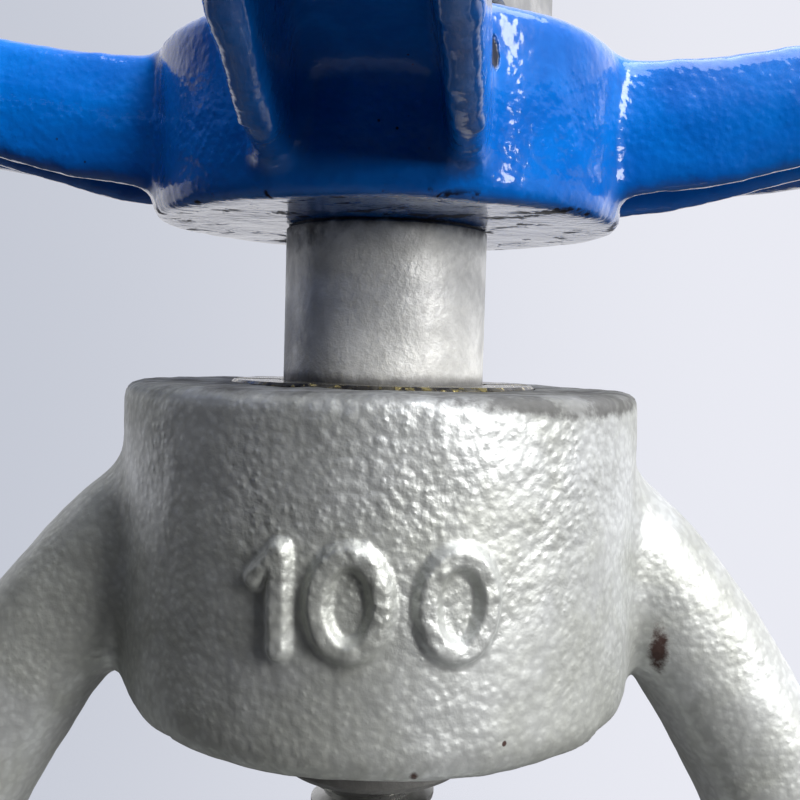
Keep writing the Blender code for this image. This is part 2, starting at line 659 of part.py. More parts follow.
def clevis():
    low = GATE_TOP - CLEVIS_DROP
    bm = bmesh.new()
    prism(bm, round_box(CLEVIS_HALF_X, CLEVIS_HALF_Y, CLEVIS_CORNER_R), low, STEM_BOTTOM + CLEVIS_COVER)
    fork = make_object("stem_clevis", bm, machined_steel())
    bm = bmesh.new()
    prism(bm, circle(CLEVIS_NECK_R, STEM_ROUND), GATE_TOP + CLEVIS_NECK_ROOT, CLEVIS_TOP)
    combine(fork, make_object("guide_neck", bm, None, cutter=True), "UNION")
    bm = bmesh.new()
    prism(bm, box_outline(CLEVIS_HALF_X + PAST, GATE_T / 2 + GAP), low - PAST, GATE_TOP + GAP)
    combine(fork, make_object("cut_fork", bm, None, cutter=True), "DIFFERENCE")
    bm = bmesh.new()
    prism(bm, circle(STEM_R + RUN_GAP, STEM_ROUND), STEM_BOTTOM - GAP, CLEVIS_TOP + PAST)
    combine(fork, make_object("cut_stem_socket", bm, None, cutter=True), "DIFFERENCE")
    flip = Matrix.Rotation(math.radians(-90.0), 4, "X")
    places = [(side * CLEVIS_BOLT_X, -CLEVIS_BOLT_Z) for side in (-1, 1)]
    reach = max(CLEVIS_NECK_R, CLEVIS_HALF_Y) + PAST
    combine(fork, hole_cutter("cut_clevis_bolts", places, CLEVIS_BOLT_R + HOLE_CLEAR, -reach, reach, flip),
            "DIFFERENCE")
    combine(fork, hole_cutter("cut_clevis_pin", [(0.0, -CLEVIS_PIN_Z)], CLEVIS_PIN_R + GAP, -reach, reach,
                              flip), "DIFFERENCE")

    along_y = at(0, 0, CLEVIS_PIN_Z) @ Z_TO_Y
    half = CLEVIS_NECK_R + CLEVIS_PIN_PROUD
    bm = bmesh.new()
    prism(bm, circle(CLEVIS_PIN_R), -half, half, along_y)
    make_object("clevis_pin", bm, machined_steel())

    for i, side in enumerate((-1, 1), start=1):
        turned = at(side * CLEVIS_BOLT_X, 0, CLEVIS_BOLT_Z) @ Z_TO_Y
        face = CLEVIS_HALF_Y + GAP
        end = -face - nut_height(CLEVIS_BOLT_R) - CLEVIS_BOLT_OUT
        bolt(f"clevis_bolt_{i}", CLEVIS_BOLT_R, face, end, turned)
        nut(f"clevis_nut_{i}", CLEVIS_BOLT_R, (0.0, 0.0, 0.0), -face - nut_height(CLEVIS_BOLT_R),
            matrix=turned)


def stem():
    bm = bmesh.new()
    end_r = STEM_R - STEM_LEAD
    profile = [(0.0, STEM_BOTTOM), (end_r, STEM_BOTTOM), (STEM_R, STEM_BOTTOM + STEM_LEAD),
               (STEM_R, STEM_TOP - STEM_LEAD), (end_r, STEM_TOP), (0.0, STEM_TOP)]
    turn(bm, profile, sides=STEM_ROUND, ring=False)
    rod = make_object("stem", bm, machined_steel())
    flip = Matrix.Rotation(math.radians(-90.0), 4, "X")
    reach = STEM_R + PAST
    combine(rod, hole_cutter("cut_stem_pin", [(0.0, -CLEVIS_PIN_Z)], CLEVIS_PIN_R + GAP, -reach, reach,
                             flip), "DIFFERENCE")


# ---------------------------------------------------------------- yoke
def boss_outline():
    """Outside of the yoke's boss, from its lower edge to its upper one, both rounded."""
    points = []
    for i in range(4):
        a = math.radians(-90.0 + 30.0 * i)
        points.append((BOSS_R - BOSS_BOTTOM_ROUND * (1.0 - math.cos(a)),
                       BOSS_BOTTOM + BOSS_BOTTOM_ROUND * (1.0 + math.sin(a))))
    for i in range(3):
        a = math.radians(45.0 * i)
        points.append((BOSS_R - BOSS_TOP_ROUND * (1.0 - math.cos(a)),
                       BOSS_TOP - BOSS_TOP_ROUND * (1.0 - math.sin(a))))
    return points


def arm_centreline():
    """(x, z) points of an arm's middle, from inside the boss to inside the foot."""
    shoulder = Vector((ARM_SHOULDER[0], BOSS_TOP - ARM_SHOULDER[1]))
    upright = Vector((FOOT_MIDDLE_X - ARM_INSET, BOSS_TOP - ARM_STRAIGHT_TOP))
    leaving = Vector((math.cos(ARM_SHOULDER_SLOPE), math.sin(ARM_SHOULDER_SLOPE)))
    pull_out = shoulder + ARM_SHOULDER_PULL * leaving
    pull_up = upright + Vector((0.0, ARM_FOOT_PULL))
    points = [Vector((ARM_ROOT[0], BOSS_TOP - ARM_ROOT[1])), shoulder]
    for i in range(1, ARM_STEPS + 1):
        t = i / ARM_STEPS
        points.append(shoulder * (1 - t) ** 3 + pull_out * 3 * t * (1 - t) ** 2
                      + pull_up * 3 * t * t * (1 - t) + upright * t ** 3)
    points.append(Vector((upright.x, FOOT_TOP - FOOT_T / 2)))
    return points


def arm_rings(side):
    """Rounded sections across the centreline."""
    path = arm_centreline()
    rings = []
    for i, middle in enumerate(path):
        ahead = path[min(i + 1, len(path) - 1)] - path[max(i - 1, 0)]
        ahead.normalize()
        across = Vector((-ahead.y, ahead.x))
        ring = []
        for k in range(ARM_SIDES):
            a = 2 * math.pi * k / ARM_SIDES
            c, s = math.cos(a), math.sin(a)
            u = math.copysign(abs(c) ** (2 / ARM_ROUND), c) * ARM_W / 2
            v = math.copysign(abs(s) ** (2 / ARM_ROUND), s) * ARM_D / 2
            spot = middle + across * u
            ring.append((side * spot.x, v, spot.y))
        rings.append(ring)
    return rings


def yoke():
    bm = bmesh.new()
    turn(bm, [(0.0, BOSS_BOTTOM), *boss_outline(), (0.0, BOSS_TOP)], ring=False)
    frame = make_object("yoke", bm, silver_paint())
    for side, word in ((-1, "left"), (1, "right")):
        bm = bmesh.new()
        loft(bm, arm_rings(side))
        combine(frame, make_object(f"guide_arm_{word}", bm, None, cutter=True), "UNION")
        bm = bmesh.new()
        prism(bm, round_box(FOOT_X / 2, FOOT_Y / 2, FOOT_CORNER_R), FOOT_BOTTOM, FOOT_TOP,
              at(side * FOOT_MIDDLE_X, 0))
        combine(frame, make_object(f"guide_foot_{word}", bm, None, cutter=True), "UNION")

    bm = bmesh.new()
    bore = SLEEVE_R + SLEEVE_BORE_GAP
    profile = [(0.0, BOSS_BOTTOM - PAST), (bore, BOSS_BOTTOM - PAST), (bore, CHAMBER_FLOOR),
               (CHAMBER_R, CHAMBER_FLOOR), (CHAMBER_R, BOSS_TOP + PAST), (0.0, BOSS_TOP + PAST)]
    turn(bm, profile, ring=False)
    combine(frame, make_object("cut_bearing_chamber", bm, None, cutter=True), "DIFFERENCE")
    combine(frame, hole_cutter("cut_foot_bolts", corners(FOOT_MIDDLE_X, YOKE_BOLT_Y),
                               YOKE_BOLT_R + HOLE_CLEAR, FOOT_BOTTOM - PAST, FOOT_TOP + PAST), "DIFFERENCE")


# ---------------------------------------------------------------- stem nut and its bearing
def stem_nut():
    bore = STEM_R + RUN_GAP
    profile = [
        (bore, NUT_BOTTOM), (SLEEVE_R, NUT_BOTTOM), (SLEEVE_R, NUT_FLANGE_Z), (NUT_FLANGE_R, NUT_FLANGE_Z),
        (NUT_FLANGE_R, NUT_FLANGE_Z + NUT_FLANGE_T), (SLEEVE_R, NUT_FLANGE_Z + NUT_FLANGE_T),
        (SLEEVE_R, HUB_BOTTOM - GAP), (HUB_SEAT_R, HUB_BOTTOM - GAP), (HUB_SEAT_R, NUT_TOP), (bore, NUT_TOP),
    ]
    bm = bmesh.new()
    turn(bm, profile)
    sleeve = make_object("stem_nut", bm, machined_steel())
    bm = bmesh.new()
    key_box(bm, HUB_SEAT_R - KEY_IN_NUT - GAP, HUB_SEAT_R + PAST, GAP)
    combine(sleeve, make_object("cut_nut_keyway", bm, None, cutter=True), "DIFFERENCE")


def key_box(bm, inner, outer, spare):
    """The key's block, lying along +X of the hub, with spare room all round."""
    half = KEY_W / 2 + spare
    outline = [(inner, -half), (outer, -half), (outer, half), (inner, half)]
    prism(bm, outline, HUB_BOTTOM + KEY_SHORT - spare, HUB_TOP - KEY_SHORT + spare)


def thrust_bearing():
    inner = SLEEVE_R + RUN_GAP
    washer("lower_thrust_washer", inner, THRUST_R, CHAMBER_FLOOR + GAP, THRUST_T, sides=ROUND,
           material=bronze())
    washer("upper_thrust_washer", inner, THRUST_R, UPPER_THRUST_Z, THRUST_T, sides=ROUND,
           material=bronze())
    top = BOSS_TOP + RETAINER_PROUD
    ring = washer("bearing_retaining_ring", inner, CHAMBER_R - GAP, RETAINER_Z, top - RETAINER_Z,
                  sides=ROUND, material=machined_steel())
    bm = bmesh.new()
    prism(bm, box_outline(CHAMBER_R + PAST, RETAINER_NOTCH / 2), top - RETAINER_NOTCH, top + PAST)
    combine(ring, make_object("cut_spanner_notches", bm, None, cutter=True), "DIFFERENCE")


# ---------------------------------------------------------------- handwheel
def spoke_rings(turned):
    """Downward-open channel sections along one spoke."""
    rings = []
    start = HUB_R - SPOKE_ROOT
    for share, under, depth, half in SPOKE_STATIONS:
        out = start + share * (RIM_MIDDLE_R - start)
        low = HUB_BOTTOM + under
        top = low + depth
        inner = half - SPOKE_RIB_T
        section = [(half, low), (half, top), (-half, top), (-half, low),
                   (-inner, low), (-inner, top - SPOKE_WEB_T), (inner, top - SPOKE_WEB_T), (inner, low)]
        rings.append([turned @ Vector((out, y, z)) for y, z in section])
    return rings


def handwheel():
    bm = bmesh.new()
    bore = HUB_SEAT_R + GAP
    edge_r = HUB_R - HUB_ROUND
    profile = [(bore, HUB_BOTTOM), (edge_r, HUB_BOTTOM), (HUB_R, HUB_BOTTOM + HUB_ROUND),
               (HUB_R, HUB_TOP - HUB_ROUND), (edge_r, HUB_TOP), (bore, HUB_TOP)]
    turn(bm, profile)
    wheel = make_object("handwheel", bm, blue_enamel())

    bm = bmesh.new()
    section = []
    for i in range(RIM_SECTION_SIDES):
        a = 2 * math.pi * i / RIM_SECTION_SIDES
        section.append((RIM_MIDDLE_R + RIM_HALF_W * math.cos(a), RIM_Z + RIM_HALF_H * math.sin(a)))
    turn(bm, section, sides=RIM_SIDES)
    combine(wheel, make_object("guide_rim", bm, None, cutter=True), "UNION")
    for i in range(SPOKES):
        bm = bmesh.new()
        loft(bm, spoke_rings(Matrix.Rotation(SPOKE_TURN + 2 * math.pi * i / SPOKES, 3, "Z")))
        combine(wheel, make_object(f"guide_spoke_{i + 1}", bm, None, cutter=True), "UNION")
    bm = bmesh.new()
    half = KEY_W / 2 + GAP
    inner = HUB_SEAT_R - KEYWAY_OVERLAP
    outer = HUB_SEAT_R + KEY_IN_HUB + GAP
    prism(bm, [(inner, -half), (outer, -half), (outer, half), (inner, half)], HUB_BOTTOM - PAST,
          HUB_TOP + PAST)
    combine(wheel, make_object("cut_hub_keyway", bm, None, cutter=True), "DIFFERENCE")


def wheel_fastening():
    bm = bmesh.new()
    key_box(bm, HUB_SEAT_R - KEY_IN_NUT, HUB_SEAT_R + KEY_IN_HUB, 0.0)
    make_object("handwheel_key", bm, machined_steel())
    washer("handwheel_washer", HUB_SEAT_R + GAP, WHEEL_WASHER_R, WHEEL_WASHER_Z, WHEEL_WASHER_T,
           sides=ROUND)
    nut("handwheel_locknut", HUB_SEAT_R, (0.0, 0.0, 0.0), LOCKNUT_Z, flats=LOCKNUT_FLATS, height=LOCKNUT_H,
        material=machined_steel(), sides=ROUND)


def main():
    remove_everything()
    valve_body()
    seat()
    gate_plate()
    packing()
    gland_follower()
    gland_fasteners()
    clevis()
    stem()
    yoke()
    yoke_fasteners()
    stem_nut()
    thrust_bearing()
    handwheel()
    wheel_fastening()


main()
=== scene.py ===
"""Knife gate valve, DN 100: the finished pieces and their materials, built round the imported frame.

Units are metres. +Z is up the stem and the pipe runs along Y. Every piece takes its place from the box of
the frame's node that it stands for, and keeps that node's outside size.
"""

import json
import math

import bmesh
import bpy
from bpy.props import FloatProperty, FloatVectorProperty, IntProperty, PointerProperty
from mathutils import Matrix, Vector, noise

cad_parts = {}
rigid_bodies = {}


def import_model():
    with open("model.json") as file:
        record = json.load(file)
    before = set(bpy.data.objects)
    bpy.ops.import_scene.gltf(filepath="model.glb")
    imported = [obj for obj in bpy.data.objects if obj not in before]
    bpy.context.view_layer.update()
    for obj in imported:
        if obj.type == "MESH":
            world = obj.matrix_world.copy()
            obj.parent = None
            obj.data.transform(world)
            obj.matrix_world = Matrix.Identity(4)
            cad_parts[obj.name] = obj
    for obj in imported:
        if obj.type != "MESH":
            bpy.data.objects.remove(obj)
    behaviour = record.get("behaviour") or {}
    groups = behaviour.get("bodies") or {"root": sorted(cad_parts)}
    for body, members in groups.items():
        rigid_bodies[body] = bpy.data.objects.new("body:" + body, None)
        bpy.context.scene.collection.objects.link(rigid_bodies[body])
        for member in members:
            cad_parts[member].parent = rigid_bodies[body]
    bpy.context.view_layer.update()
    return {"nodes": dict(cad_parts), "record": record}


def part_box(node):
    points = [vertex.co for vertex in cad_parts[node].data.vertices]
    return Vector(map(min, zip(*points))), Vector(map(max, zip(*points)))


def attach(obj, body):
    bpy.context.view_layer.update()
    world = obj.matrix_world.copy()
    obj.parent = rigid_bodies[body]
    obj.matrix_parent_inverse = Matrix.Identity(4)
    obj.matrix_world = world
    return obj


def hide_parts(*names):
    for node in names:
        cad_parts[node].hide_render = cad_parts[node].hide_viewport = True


bl_info = {
    "name": "Knife Gate Valve",
    "version": (1, 0, 0),
    "blender": (4, 5, 0),
    "location": "View3D > Sidebar > Valve",
    "description": "Finished pieces and materials of a knife gate valve with a cast yoke",
    "category": "Object",
}

for leftover in list(bpy.data.objects):
    bpy.data.objects.remove(leftover, do_unlink=True)
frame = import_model()


# ---------------------------------------------------------------- places read from the frame
def low(node):
    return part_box(node)[0]


def high(node):
    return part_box(node)[1]


def middle(node):
    return (low(node) + high(node)) / 2


def extent(node):
    return high(node) - low(node)


BOSS_TOP = high("yoke").z
FOOT_BOTTOM = low("yoke").z
BODY_TOP = high("valve_body").z
BORE_Z = middle("seat_ring").z
KEY_INSET = 0.002
HUB_BOTTOM = low("handwheel_key").z - KEY_INSET
HUB_TOP = high("handwheel_key").z + KEY_INSET
FACE_Y = -low("seat_retainer_ring").y

# GAP is the play of a close fit, BOLT_PLAY of a bolt in its hole. A cutter reaches PAST the faces that it
# leaves by. SPOT_DEPTH is a spot face's depth. SKIN keeps a casting's uneven skin inside the frame's box.
# SEAT_STEP is the wheel washer's width, HEAD_SHARE a bolt head's height for each unit of its radius, and
# CAST_SMOOTH the sharpest turn in degrees that a casting still shades smooth.
GAP = 0.0003
BOLT_PLAY = 0.0005
SPOT_DEPTH = 0.0003
SKIN = 0.0002
PAST = 0.01
SEAT_STEP = 0.009
HEAD_SHARE = 1.3
CAST_SMOOTH = 42.0

Z_TO_Y = Matrix.Rotation(math.radians(90.0), 4, "X")


# ---------------------------------------------------------------- sizes and colours a user may change
def length(name, description, default):
    """A size in metres."""
    return FloatProperty(name=name, description=description, default=default, subtype="DISTANCE",
                         unit="LENGTH", precision=5, min=0.0)


def angle(name, description, degrees):
    """An angle, given in degrees."""
    return FloatProperty(name=name, description=description, default=math.radians(degrees), subtype="ANGLE",
                         unit="ROTATION")


def colour(name, description, default):
    """A linear colour."""
    return FloatVectorProperty(name=name, description=description, default=default, subtype="COLOR",
                               size=3, min=0.0, max=1.0)


class YokeSizes(bpy.types.PropertyGroup):
    """Yoke"""

    boss_radius: length("Boss radius", "Outside radius of the boss", 0.040)
    boss_height: length("Boss height", "Height of the boss", 0.0495)
    boss_top_round: length("Top rounding", "Rounding of the boss's upper edge", 0.0016)
    boss_bottom_round: length("Bottom rounding", "Rounding of the boss's lower edge", 0.0045)
    arm_width: length("Arm width", "Width of an arm in the plane of the yoke", 0.0224)
    arm_depth: length("Arm depth", "Depth of an arm along the pipe", 0.0264)
    foot_length: length("Foot length", "Length of a foot, away from the stem", 0.034)
    foot_thickness: length("Foot thickness", "Thickness of a foot", 0.014)
    chamber_depth: length("Chamber depth", "Depth of the bearing chamber", 0.027)
    numeral_height: length("Numeral height", "Height of the raised size numerals", 0.0150)
    numeral_relief: length("Numeral relief", "How far the numerals stand out", 0.0015)
    grain: length("Casting voxel", "Resolution of the casting's surface", 0.0011)


class HandwheelSizes(bpy.types.PropertyGroup):
    """Handwheel and the stem nut's sleeve"""

    hub_radius: length("Hub radius", "Outside radius of the hub", 0.0363)
    rim_half_width: length("Rim half width", "Half of the rim's width", 0.010)
    rim_half_height: length("Rim half height", "Half of the rim's height", 0.009)
    rim_rise: length("Rim rise", "Height of the rim's middle above the hub's underside", 0.028)
    spokes: IntProperty(name="Spokes", description="Number of spokes", default=4, min=3, max=6)
    web: length("Web", "Thickness of a spoke's upper wall", 0.005)
    rib: length("Rib", "Thickness of a spoke's side walls", 0.0058)
    sleeve_radius: length("Sleeve radius", "Outside radius of the stem nut's sleeve", 0.0159)
    turn: angle("Turn", "Direction of the first spoke at rest, from +X", -96.5)
    grain: length("Casting voxel", "Resolution of the casting's surface", 0.00108)


class BodySizes(bpy.types.PropertyGroup):
    """Body casting"""

    bore_radius: length("Bore radius", "Radius of the pipe bore", 0.050)
    disc_half: length("Disc half thickness", "Half of the disc, without its raised faces", 0.024)
    raised_radius: length("Raised face radius", "Radius of the raised faces", 0.079)
    bolt_circle: length("Bolt circle radius", "Radius of the circle of flange holes", 0.090)
    hole_radius: length("Flange hole radius", "Core radius of a tapped flange hole", 0.007)
    blind_depth: length("Blind hole depth", "Depth of the two upper holes in each face", 0.015)
    chest_half_y: length("Chest half depth", "Half of the chest along the pipe", 0.022)
    top_flange: length("Top flange", "Thickness of the top flange", 0.018)
    holes: IntProperty(name="Holes", description="Number of flange holes", default=8, min=4, max=24)
    grain: length("Casting voxel", "Resolution of the casting's surface", 0.0018)


class ThreadSizes(bpy.types.PropertyGroup):
    """Threads of the stem and the fasteners"""

    gland_radius: length("Gland stud radius", "Thread radius of the gland studs", 0.005)
    gland_pitch: length("Gland stud pitch", "Thread pitch of the gland studs", 0.0015)
    yoke_radius: length("Yoke bolt radius", "Thread radius of the yoke bolts", 0.006)
    yoke_pitch: length("Yoke bolt pitch", "Thread pitch of the yoke bolts", 0.00175)
    clevis_radius: length("Clevis bolt radius", "Thread radius of the clevis bolts", 0.004)
    clevis_pitch: length("Clevis bolt pitch", "Thread pitch of the clevis bolts", 0.00125)
    stem_pitch: length("Stem pitch", "Pitch of the stem's trapezoidal thread", 0.004)


class Finishes(bpy.types.PropertyGroup):
    """Colours of the finishes"""

    silver: colour("Silver paint", "Aluminium paint on the castings", (0.735, 0.755, 0.745))
    enamel: colour("Blue enamel", "Enamel on the handwheel", (0.0, 0.160, 0.62))
    steel: colour("Machined steel", "Bare turned steel", (0.50, 0.50, 0.48))
    stainless: colour("Stainless", "Gate plate and retainer", (0.60, 0.60, 0.58))
    zinc: colour("Zinc plate", "Plated fasteners", (0.62, 0.63, 0.64))
    # oily dirt, and also the painted shade on the sleeve under the hub
    grime: colour("Grime", "Oily dirt", (0.035, 0.032, 0.030))
    rust: colour("Rust", "Rust at bare spots", (0.052, 0.026, 0.021))


SIZES = {"valve_yoke": YokeSizes, "valve_handwheel": HandwheelSizes, "valve_body": BodySizes,
         "valve_threads": ThreadSizes, "valve_finishes": Finishes}


def of(group):
    """The property group of this name in the scene."""
    return getattr(bpy.context.scene, group)


# ---------------------------------------------------------------- mesh helpers
def add_shape(bm, shape, matrix=None):
    """Moves a finished shape into a mesh that may hold others."""
    bmesh.ops.remove_doubles(shape, verts=shape.verts, dist=1e-7)
    if matrix is not None:
        bmesh.ops.transform(shape, matrix=matrix, verts=shape.verts)
    mesh = bpy.data.meshes.new("shape")
    shape.to_mesh(mesh)
    shape.free()
    bm.from_mesh(mesh)
    bpy.data.meshes.remove(mesh)


def lathe(bm, profile, steps=96, matrix=None):
    """Spins an outline of (radius, height) points about Z. One that starts on the axis must end there."""
    shape = bmesh.new()
    verts = [shape.verts.new((radius, 0.0, height)) for radius, height in profile]
    edges = [shape.edges.new(pair) for pair in zip(verts, verts[1:])]
    if profile[0][0] > 0.0:
        edges.append(shape.edges.new((verts[-1], verts[0])))
    bmesh.ops.spin(shape, geom=verts + edges, cent=(0, 0, 0), axis=(0, 0, 1), angle=math.tau, steps=steps,
                   use_merge=True)
    add_shape(bm, shape, matrix)


def prism(bm, outline, bottom, top, matrix=None):
    """Extrudes an outline of (x, y) points from one height to the other."""
    shape = bmesh.new()
    face = shape.faces.new([shape.verts.new((x, y, bottom)) for x, y in outline])
    made = bmesh.ops.extrude_face_region(shape, geom=[face])
    raised = [v for v in made["geom"] if isinstance(v, bmesh.types.BMVert)]
    bmesh.ops.translate(shape, vec=(0, 0, top - bottom), verts=raised)
    add_shape(bm, shape, matrix)


def swept(bm, sections):
    """Extrudes the first section's face through the places of the sections that follow."""
    shape = bmesh.new()
    face = shape.faces.new([shape.verts.new(point) for point in sections[0]])
    for before, after in zip(sections, sections[1:]):
        made = bmesh.ops.extrude_face_region(shape, geom=[face])
        face = next(f for f in made["geom"] if isinstance(f, bmesh.types.BMFace))
        for vert in face.verts:
            nearest = min(range(len(before)), key=lambda i: (before[i] - vert.co).length_squared)
            vert.co = after[nearest]
    add_shape(bm, shape)


def round_box(half_x, half_y, radius, steps=6):
    """Outline of a rectangle with round corners."""
    points = []
    for quarter, (sx, sy) in enumerate(((1, 1), (-1, 1), (-1, -1), (1, -1))):
        for i in range(steps + 1):
            a = math.radians(90.0) * (quarter + i / steps)
            points.append((sx * (half_x - radius) + radius * math.cos(a),
                           sy * (half_y - radius) + radius * math.sin(a)))
    return points


def arc(centre, radius, start, end, steps):
    """Points on an arc, with its angles in degrees."""
    points = []
    for i in range(steps + 1):
        a = math.radians(start + (end - start) * i / steps)
        points.append((centre[0] + radius * math.cos(a), centre[1] + radius * math.sin(a)))
    return points


def chamfered(inner, outer, bottom, top, edge):
    """Outline (radius, height) of a ring with its four edges broken."""
    return [(inner, bottom + edge), (inner + edge, bottom), (outer - edge, bottom), (outer, bottom + edge),
            (outer, top - edge), (outer - edge, top), (inner + edge, top), (inner, top - edge)]


def at(x, y, z=0.0):
    """A move to a place."""
    return Matrix.Translation((x, y, z))


def closed_up(bm):
    """Welds what meets and turns every face outwards."""
    bmesh.ops.remove_doubles(bm, verts=bm.verts, dist=1e-6)
    bmesh.ops.recalc_face_normals(bm, faces=bm.faces)


def to_object(name, bm):
    """Turns a bmesh into an object at the origin."""
    closed_up(bm)
    mesh = bpy.data.meshes.new(name)
    bm.to_mesh(mesh)
    bm.free()
    obj = bpy.data.objects.new(name, mesh)
    bpy.context.scene.collection.objects.link(obj)
    return obj


def lathed(name, profile, steps=96, matrix=None):
    """An object of one spun outline."""
    bm = bmesh.new()
    lathe(bm, profile, steps, matrix)
    return to_object(name, bm)


def slab(bm, half_x, half_y, bottom, top):
    """A plain block about the axis."""
    prism(bm, [(-half_x, -half_y), (half_x, -half_y), (half_x, half_y), (-half_x, half_y)], bottom, top)


def hole_along_y(bm, spot, radius, reach):
    """A round cutter that runs along the pipe through a place."""
    lathe(bm, [(0.0, -reach), (radius, -reach), (radius, reach), (0.0, reach)], steps=32,
          matrix=at(spot.x, 0, spot.z) @ Z_TO_Y)


def apply_modifiers(obj):
    """Swaps the object's mesh for the one that its modifiers make."""
    graph = bpy.context.evaluated_depsgraph_get()
    made = bpy.data.meshes.new_from_object(obj.evaluated_get(graph))
    obj.modifiers.clear()
    obj.data = made


def combined(obj, bm, operation="DIFFERENCE"):
    """Adds, cuts or keeps what a second shape covers. A cut's own faces take the second material."""
    other = to_object("second_shape", bm)
    if operation == "DIFFERENCE":
        other.data.polygons.foreach_set("material_index", [1] * len(other.data.polygons))
    modifier = obj.modifiers.new("combine", "BOOLEAN")
    modifier.operation = operation
    modifier.solver = "EXACT"
    modifier.object = other
    for data in (obj.data, other.data):
        while len(data.materials) < 2:
            data.materials.append(None)
    apply_modifiers(obj)
    bpy.data.objects.remove(other)


def cast(obj, voxel):
    """Melts overlapping closed shapes into one skin."""
    modifier = obj.modifiers.new("fuse", "REMESH")
    modifier.mode = "VOXEL"
    modifier.voxel_size = voxel
    modifier.adaptivity = 0.0
    apply_modifiers(obj)


def softened(bm, rounds, chosen=None):
    """Relaxes the vertices that a test on their place picks out, which leaves a fillet where shapes meet."""
    verts = [v for v in bm.verts if chosen is None or chosen(v.co)]
    for _ in range(rounds):
        bmesh.ops.smooth_vert(bm, verts=verts, factor=0.5, use_axis_x=True, use_axis_y=True,
                              use_axis_z=True)


def lumpy(bm, depth, size, seed):
    """Moves vertices along their normals as a sand casting's skin does."""
    shift = Vector((seed, 2 * seed, 3 * seed))
    bm.normal_update()
    for vert in bm.verts:
        broad = noise.noise(vert.co / size + shift)
        fine = noise.noise(vert.co * 2.7 / size + shift)
        vert.co += vert.normal * depth * (broad + 0.4 * fine)


def edit(obj, *steps):
    """Runs steps that each take a bmesh on the object's mesh."""
    bm = bmesh.new()
    bm.from_mesh(obj.data)
    for step in steps:
        step(bm)
    bm.to_mesh(obj.data)
    bm.free()


def bevelled(bm, edges, width, segments=2):
    """Rounds edges, or chamfers them with one segment."""
    bmesh.ops.bevel(bm, geom=edges, offset=width, offset_type="OFFSET", affect="EDGES", segments=segments,
                    profile=0.5, material=-1, clamp_overlap=True)


def sharp_edges(bm, degrees):
    """Edges that turn by more than an angle."""
    return [e for e in bm.edges if e.is_manifold and e.calc_face_angle(0.0) > math.radians(degrees)]


def finished(obj, body, materials, nodes, smooth_angle=35.0):
    """Gives a piece its materials and its body, and hides the frame's nodes that it stands for."""
    if not obj.data.polygons:
        raise RuntimeError(f"{obj.name} came out empty")
    obj.data.materials.clear()
    for material in materials:
        obj.data.materials.append(material)
    edit(obj, closed_up)
    for polygon in obj.data.polygons:
        polygon.material_index = min(polygon.material_index, len(materials) - 1)
    obj.data.shade_smooth()
    obj.data.set_sharp_from_angle(angle=math.radians(smooth_angle))
    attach(obj, body)
    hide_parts(*nodes)
    return obj


def body_of_node(node):
    """The moving body that a node belongs to."""
    for body, members in frame["record"]["behaviour"]["bodies"].items():
        if node in members:
            return body
    raise ValueError(f"{node} is in no body")


# ---------------------------------------------------------------- shader helpers
class Wiring:
    """Adds nodes to a tree. An input is a number, a colour or another node's output."""

    def __init__(self, tree):
        self.tree = tree

    def give(self, socket, value):
        """Links a node's output to a socket, or sets its constant."""
        if isinstance(value, bpy.types.NodeSocket):
            self.tree.links.new(value, socket)
        else:
            socket.default_value = value

    def node(self, kind, inputs=None, **settings):
        made = self.tree.nodes.new(kind)
        for key, value in settings.items():
            setattr(made, key, value)
        for key, value in (inputs or {}).items():
            self.give(made.inputs[key], value)
        return made

    def math(self, operation, a, b=0.0, clamp=False):
        made = self.node("ShaderNodeMath", {0: a, 1: b}, operation=operation, use_clamp=clamp)
        return made.outputs[0]

    def plus(self, a, b, clamp=False):
        return self.math("ADD", a, b, clamp)

    def minus(self, a, b, clamp=False):
        return self.math("SUBTRACT", a, b, clamp)

    def times(self, a, b):
        return self.math("MULTIPLY", a, b)

    def most(self, a, b):
        return self.math("MAXIMUM", a, b)

    def remap(self, value, from_low, from_high, to_low=0.0, to_high=1.0):
        """Eases a value from one range to another."""
        made = self.node("ShaderNodeMapRange", {"Value": value, "From Min": from_low, "From Max": from_high,
                                                "To Min": to_low, "To Max": to_high},
                         interpolation_type="SMOOTHSTEP")
        return made.outputs["Result"]

    def noise(self, place, scale, detail=2.0, roughness=0.5, distortion=0.0):
        made = self.node("ShaderNodeTexNoise", {"Vector": place, "Scale": scale, "Detail": detail,
                                                "Roughness": roughness, "Distortion": distortion})
        return made.outputs["Fac"]

    def cells(self, place, scale, feature="SMOOTH_F1"):
        made = self.node("ShaderNodeTexVoronoi", {"Vector": place, "Scale": scale}, feature=feature)
        return made.outputs["Distance"]

    def blend(self, share, a, b):
        """Mixes two colours."""
        made = self.node("ShaderNodeMix", data_type="RGBA")
        self.give(made.inputs[0], share)
        for index, value in ((6, a), (7, b)):
            self.give(made.inputs[index], (*value, 1.0) if isinstance(value, tuple) else value)
        return made.outputs[2]

    def group(self, name, inputs):
        """A shared effect's outputs."""
        made = self.tree.nodes.new("ShaderNodeGroup")
        made.node_tree = bpy.data.node_groups[name]
        for key, value in inputs.items():
            self.give(made.inputs[key], value)
        return made.outputs

    def blotches(self, place, scale, start, end):
        return self.group("blotches", {"Place": place, "Scale": scale, "Low": start, "High": end})["Mask"]

    def dirt_line(self, place, height, depth, ragged):
        return self.group("dirt and shade line", {"Place": place, "Height": height, "Depth": depth,
                                        "Break": ragged})["Mask"]

    def spot(self, place, centre, stretch, radius, ragged):
        return self.group("spot", {"Place": place, "Centre": centre, "Stretch": stretch,
                                   "Radius": radius, "Break": ragged})["Mask"]


def feed(wires, node, **links):
    """Feeds a node's inputs, named with underscores for spaces."""
    for key, value in links.items():
        wires.tree.links.new(value, node.inputs[key.replace("_", " ")])


